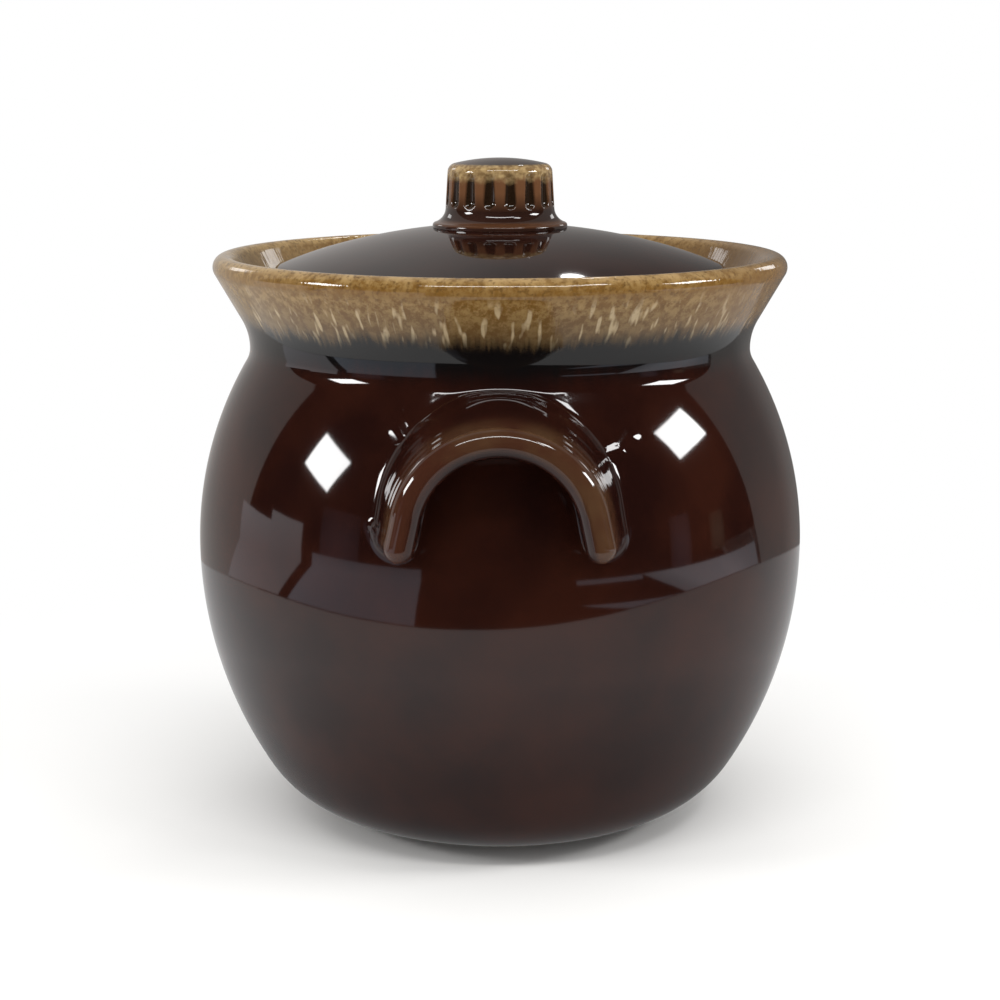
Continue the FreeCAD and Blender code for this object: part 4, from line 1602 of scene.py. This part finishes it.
@dataclass
class Studio:
    """The pale table, the room round it that shows in the glaze, the lamps and the camera.

    Sizes are in metres, but for the lens and its sensor, which are in millimetres.
    """

    ambient: float = 0.78
    floor_colour: str = "#f9f8f6"
    floor_span: float = 6.0
    floor_fade: Fade = Fade(0.08, 0.3)
    camera_distance: float = 0.6283
    camera_height: float = 0.2194
    camera_tilt: float = 11.40
    lens: float = 77.27
    sensor: float = 36.0
    windows: tuple[Window, ...] = (
        Window("Left window", (
            (-0.944, -0.157, 0.391),
            (-0.870, -0.215, 0.543),
            (-0.802, -0.462, 0.480),
            (-0.896, -0.385, 0.323),
        )),
        Window("Right window", (
            (0.808, -0.336, 0.584),
            (0.865, -0.062, 0.597),
            (0.935, 0.033, 0.454),
            (0.906, -0.255, 0.438),
        )),
    )
    lamps: tuple[Softbox, ...] = (
        Softbox("Front skylight", 0.0, 50.0, 0.0, (0.85, 0.08), 14.0),
        Softbox("Front lamp", 44.0, 50.0, 0.0, (0.18, 0.1), 16.0),
        Softbox("Rear lamp", 168.9, 45.3, 0.0, (0.046, 0.056), oval=True),
        Softbox("Rear left window", -133.0, 24.0, 48.0, (0.2, 0.2), 3.0),
        Softbox("Rear right window", 140.0, 22.0, 42.0, (0.2, 0.2), 3.0),
    )
    screens: tuple[Screen, ...] = (
        Screen(
            "Table in the glaze with painted shadow",
            ((-180, 0.9), (-75, 1.2), (0, 1.0), (90, 0.92), (180, 0.9)),
            # Painted shadow: the table in the glaze glows dimmer towards the pot, standing in for the pot's
            # shadow on it.
            tuple(
                around(reach, 0.0008, share)
                for reach, share in (
                    (0.001, 0.17), (0.065, 0.2), (0.085, 0.29), (0.105, 0.41), (0.13, 0.53),
                    (0.17, 0.66), (0.25, 0.68), (0.6, 0.6),
                )
            ),
        ),
        Screen("Dark front of the room", ((-107, 1.0), (107, 1.0)), FRONT, "#1a0f0e"),
        Screen(
            "Grey wall behind",
            (
                (85, 0.37), (107, 0.37), (130, 0.26), (145, 0.27), (164, 0.17), (171, 0.25), (180, 0.36),
                (185, 0.45), (192, 0.55), (218, 0.46), (253, 0.5), (275, 0.5),
            ),
            BEHIND,
            "#fffaf6",
        ),
        Screen(
            "Left mat",
            ((-69, 0.9), (-60, 0.8), (-42, 0.68), (-27, 0.66)),
            (MAT_EDGE, MAT_END, around(0.85, 0.05, 0.8)),
            "#e4eeff",
        ),
        Screen(
            "Left near card",
            ((-90, 0.8), (-74, 0.8)),
            (MAT_EDGE, MAT_END, around(0.85, 0.145, 1.3)),
            "#fdfaff",
        ),
        Screen(
            "Left far card",
            ((-108, 0.75), (-90, 0.8)),
            (MAT_EDGE, MAT_END, around(0.85, 0.11, 1.3)),
            "#fdfaff",
        ),
        Screen(
            "Left curtain",
            ((-66, 0.12), (-61, 0.17), (-55, 0.17), (-50, 0.1)),
            (around(0.86, 0.003), around(0.86, 0.13), around(0.86, 0.24, 0.5)),
            "#f2e4ff",
        ),
        Screen(
            "Right curtain",
            ((62, 0.1), (65, 0.2), (69, 0.2), (71, 0.1)),
            (around(0.86, 0.003, 0.8), around(0.86, 0.1), around(0.86, 0.2, 0.6)),
            "#f2e4ff",
        ),
        Screen(
            "Right curtain's edge",
            ((80, 0.1), (82, 0.22), (85, 0.22), (87, 0.12)),
            (around(0.86, 0.03, 0.6), around(0.86, 0.09), around(0.86, 0.16, 0.6)),
            "#fff0d0",
        ),
        Screen(
            "Right near mat",
            ((26, 0.66), (42, 0.76), (50, 0.8)),
            (MAT_EDGE, around(0.4, 0.003)),
            "#e4eeff",
        ),
        Screen("Right far mat", ((26, 0.62), (50, 0.66)), (around(0.7, 0.003), MAT_END), "#e4eeff"),
        Screen(
            "Right card",
            ((50, 0.75), (62, 1.15), (84, 1.1), (97, 0.72), (104, 0.62)),
            (MAT_EDGE, MAT_END),
            "#eef4ff",
        ),
    )

    def seen(self, tree: bpy.types.NodeTree) -> object:
        """Add the nodes that say whether the camera sees a surface, also in gloss or through glass.

        Args:
            tree: The material's or the world's tree.

        Returns:
            1 where it does and 0 where light falls on something.
        """
        path = add(tree, "ShaderNodeLightPath")
        direct = add(tree, MATH, {0: path["Is Camera Ray"], 1: path["Is Glossy Ray"]}, operation="ADD")[0]
        both = add(tree, MATH, {0: direct, 1: path["Is Transmission Ray"]}, operation="ADD", use_clamp=True)
        return both[0]

    def sky(self) -> None:
        """Make the world white to the eye and a little dimmer as a lamp."""
        world = bpy.data.worlds.new("White studio")
        tree = blank(world)
        strength = add(tree, RANGE, Fade(0.0, 1.0, 1.0, self.ambient).inputs(self.seen(tree)))[0]
        white = add(tree, "ShaderNodeBackground", {"Color": WHITE, "Strength": strength})[0]
        add(tree, "ShaderNodeOutputWorld", {"Surface": white})
        bpy.context.scene.world = world

    def table(self) -> None:
        """Lay the pale table, which takes the pot's shadow and fades to white further off."""
        half = self.floor_span / 2
        mesh = bpy.data.meshes.new("table_top")
        corners = [(-half, -half, 0), (half, -half, 0), (half, half, 0), (-half, half, 0)]
        mesh.from_pydata(corners, [], [(0, 1, 2, 3)])
        made = bpy.data.materials.new("Matt white laminate")
        tree = blank(made)
        place = add(tree, "ShaderNodeTexCoord")["Object"]
        reach = add(tree, VECTOR, {0: place}, operation="LENGTH")["Value"]
        far = add(tree, RANGE, self.floor_fade.inputs(reach), interpolation_type="SMOOTHSTEP")[0]
        shown = add(tree, MATH, {0: far, 1: self.seen(tree)}, operation="MULTIPLY")[0]
        matt = add(tree, "ShaderNodeBsdfDiffuse", {"Color": linear(self.floor_colour)})[0]
        white = add(tree, "ShaderNodeEmission", {"Color": WHITE, "Strength": 1.0})[0]
        top = add(tree, "ShaderNodeMixShader", {0: shown, 1: matt, 2: white})[0]
        add(tree, "ShaderNodeOutputMaterial", {"Surface": top})
        mesh.materials.append(made)
        stand("table_top", mesh)

    def camera(self) -> None:
        """Stand the camera in front of the pot and a little above it."""
        lens = bpy.data.cameras.new("Camera")
        lens.lens = self.lens
        lens.sensor_width = self.sensor
        camera = stand("Camera", lens)
        camera.location = (0, -self.camera_distance, self.camera_height)
        camera.rotation_euler = (math.radians(90 - self.camera_tilt), 0, 0)
        bpy.context.scene.camera = camera

    def build(self) -> None:
        """Set up the studio."""
        self.sky()
        self.table()
        for thing in (*self.screens, *self.windows, *self.lamps):
            thing.build()
        self.camera()
        bpy.context.scene.view_settings.view_transform = "Standard"


def main() -> None:
    """Build the pot piece by piece, then the studio."""
    logging.basicConfig(level=logging.INFO, format="%(message)s")
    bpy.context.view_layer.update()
    wheel = Wheel()
    pot, lid, knob = Pot(), Lid(), Knob()
    body = pot.build(wheel)
    pieces = [body]
    for lug in (Lug("handle_front", 1, beads=FROZEN_RUNS), Lug("handle_rear", -1)):
        pieces.append(lug.build(pot, body.data.materials[0]))
    pieces += [lid.build(wheel), knob.build(wheel, lid)]
    for piece in pieces:
        log.info("%s: %d faces", piece.name, len(piece.data.polygons))
    Studio().build()


if __name__ == "__main__":
    main()
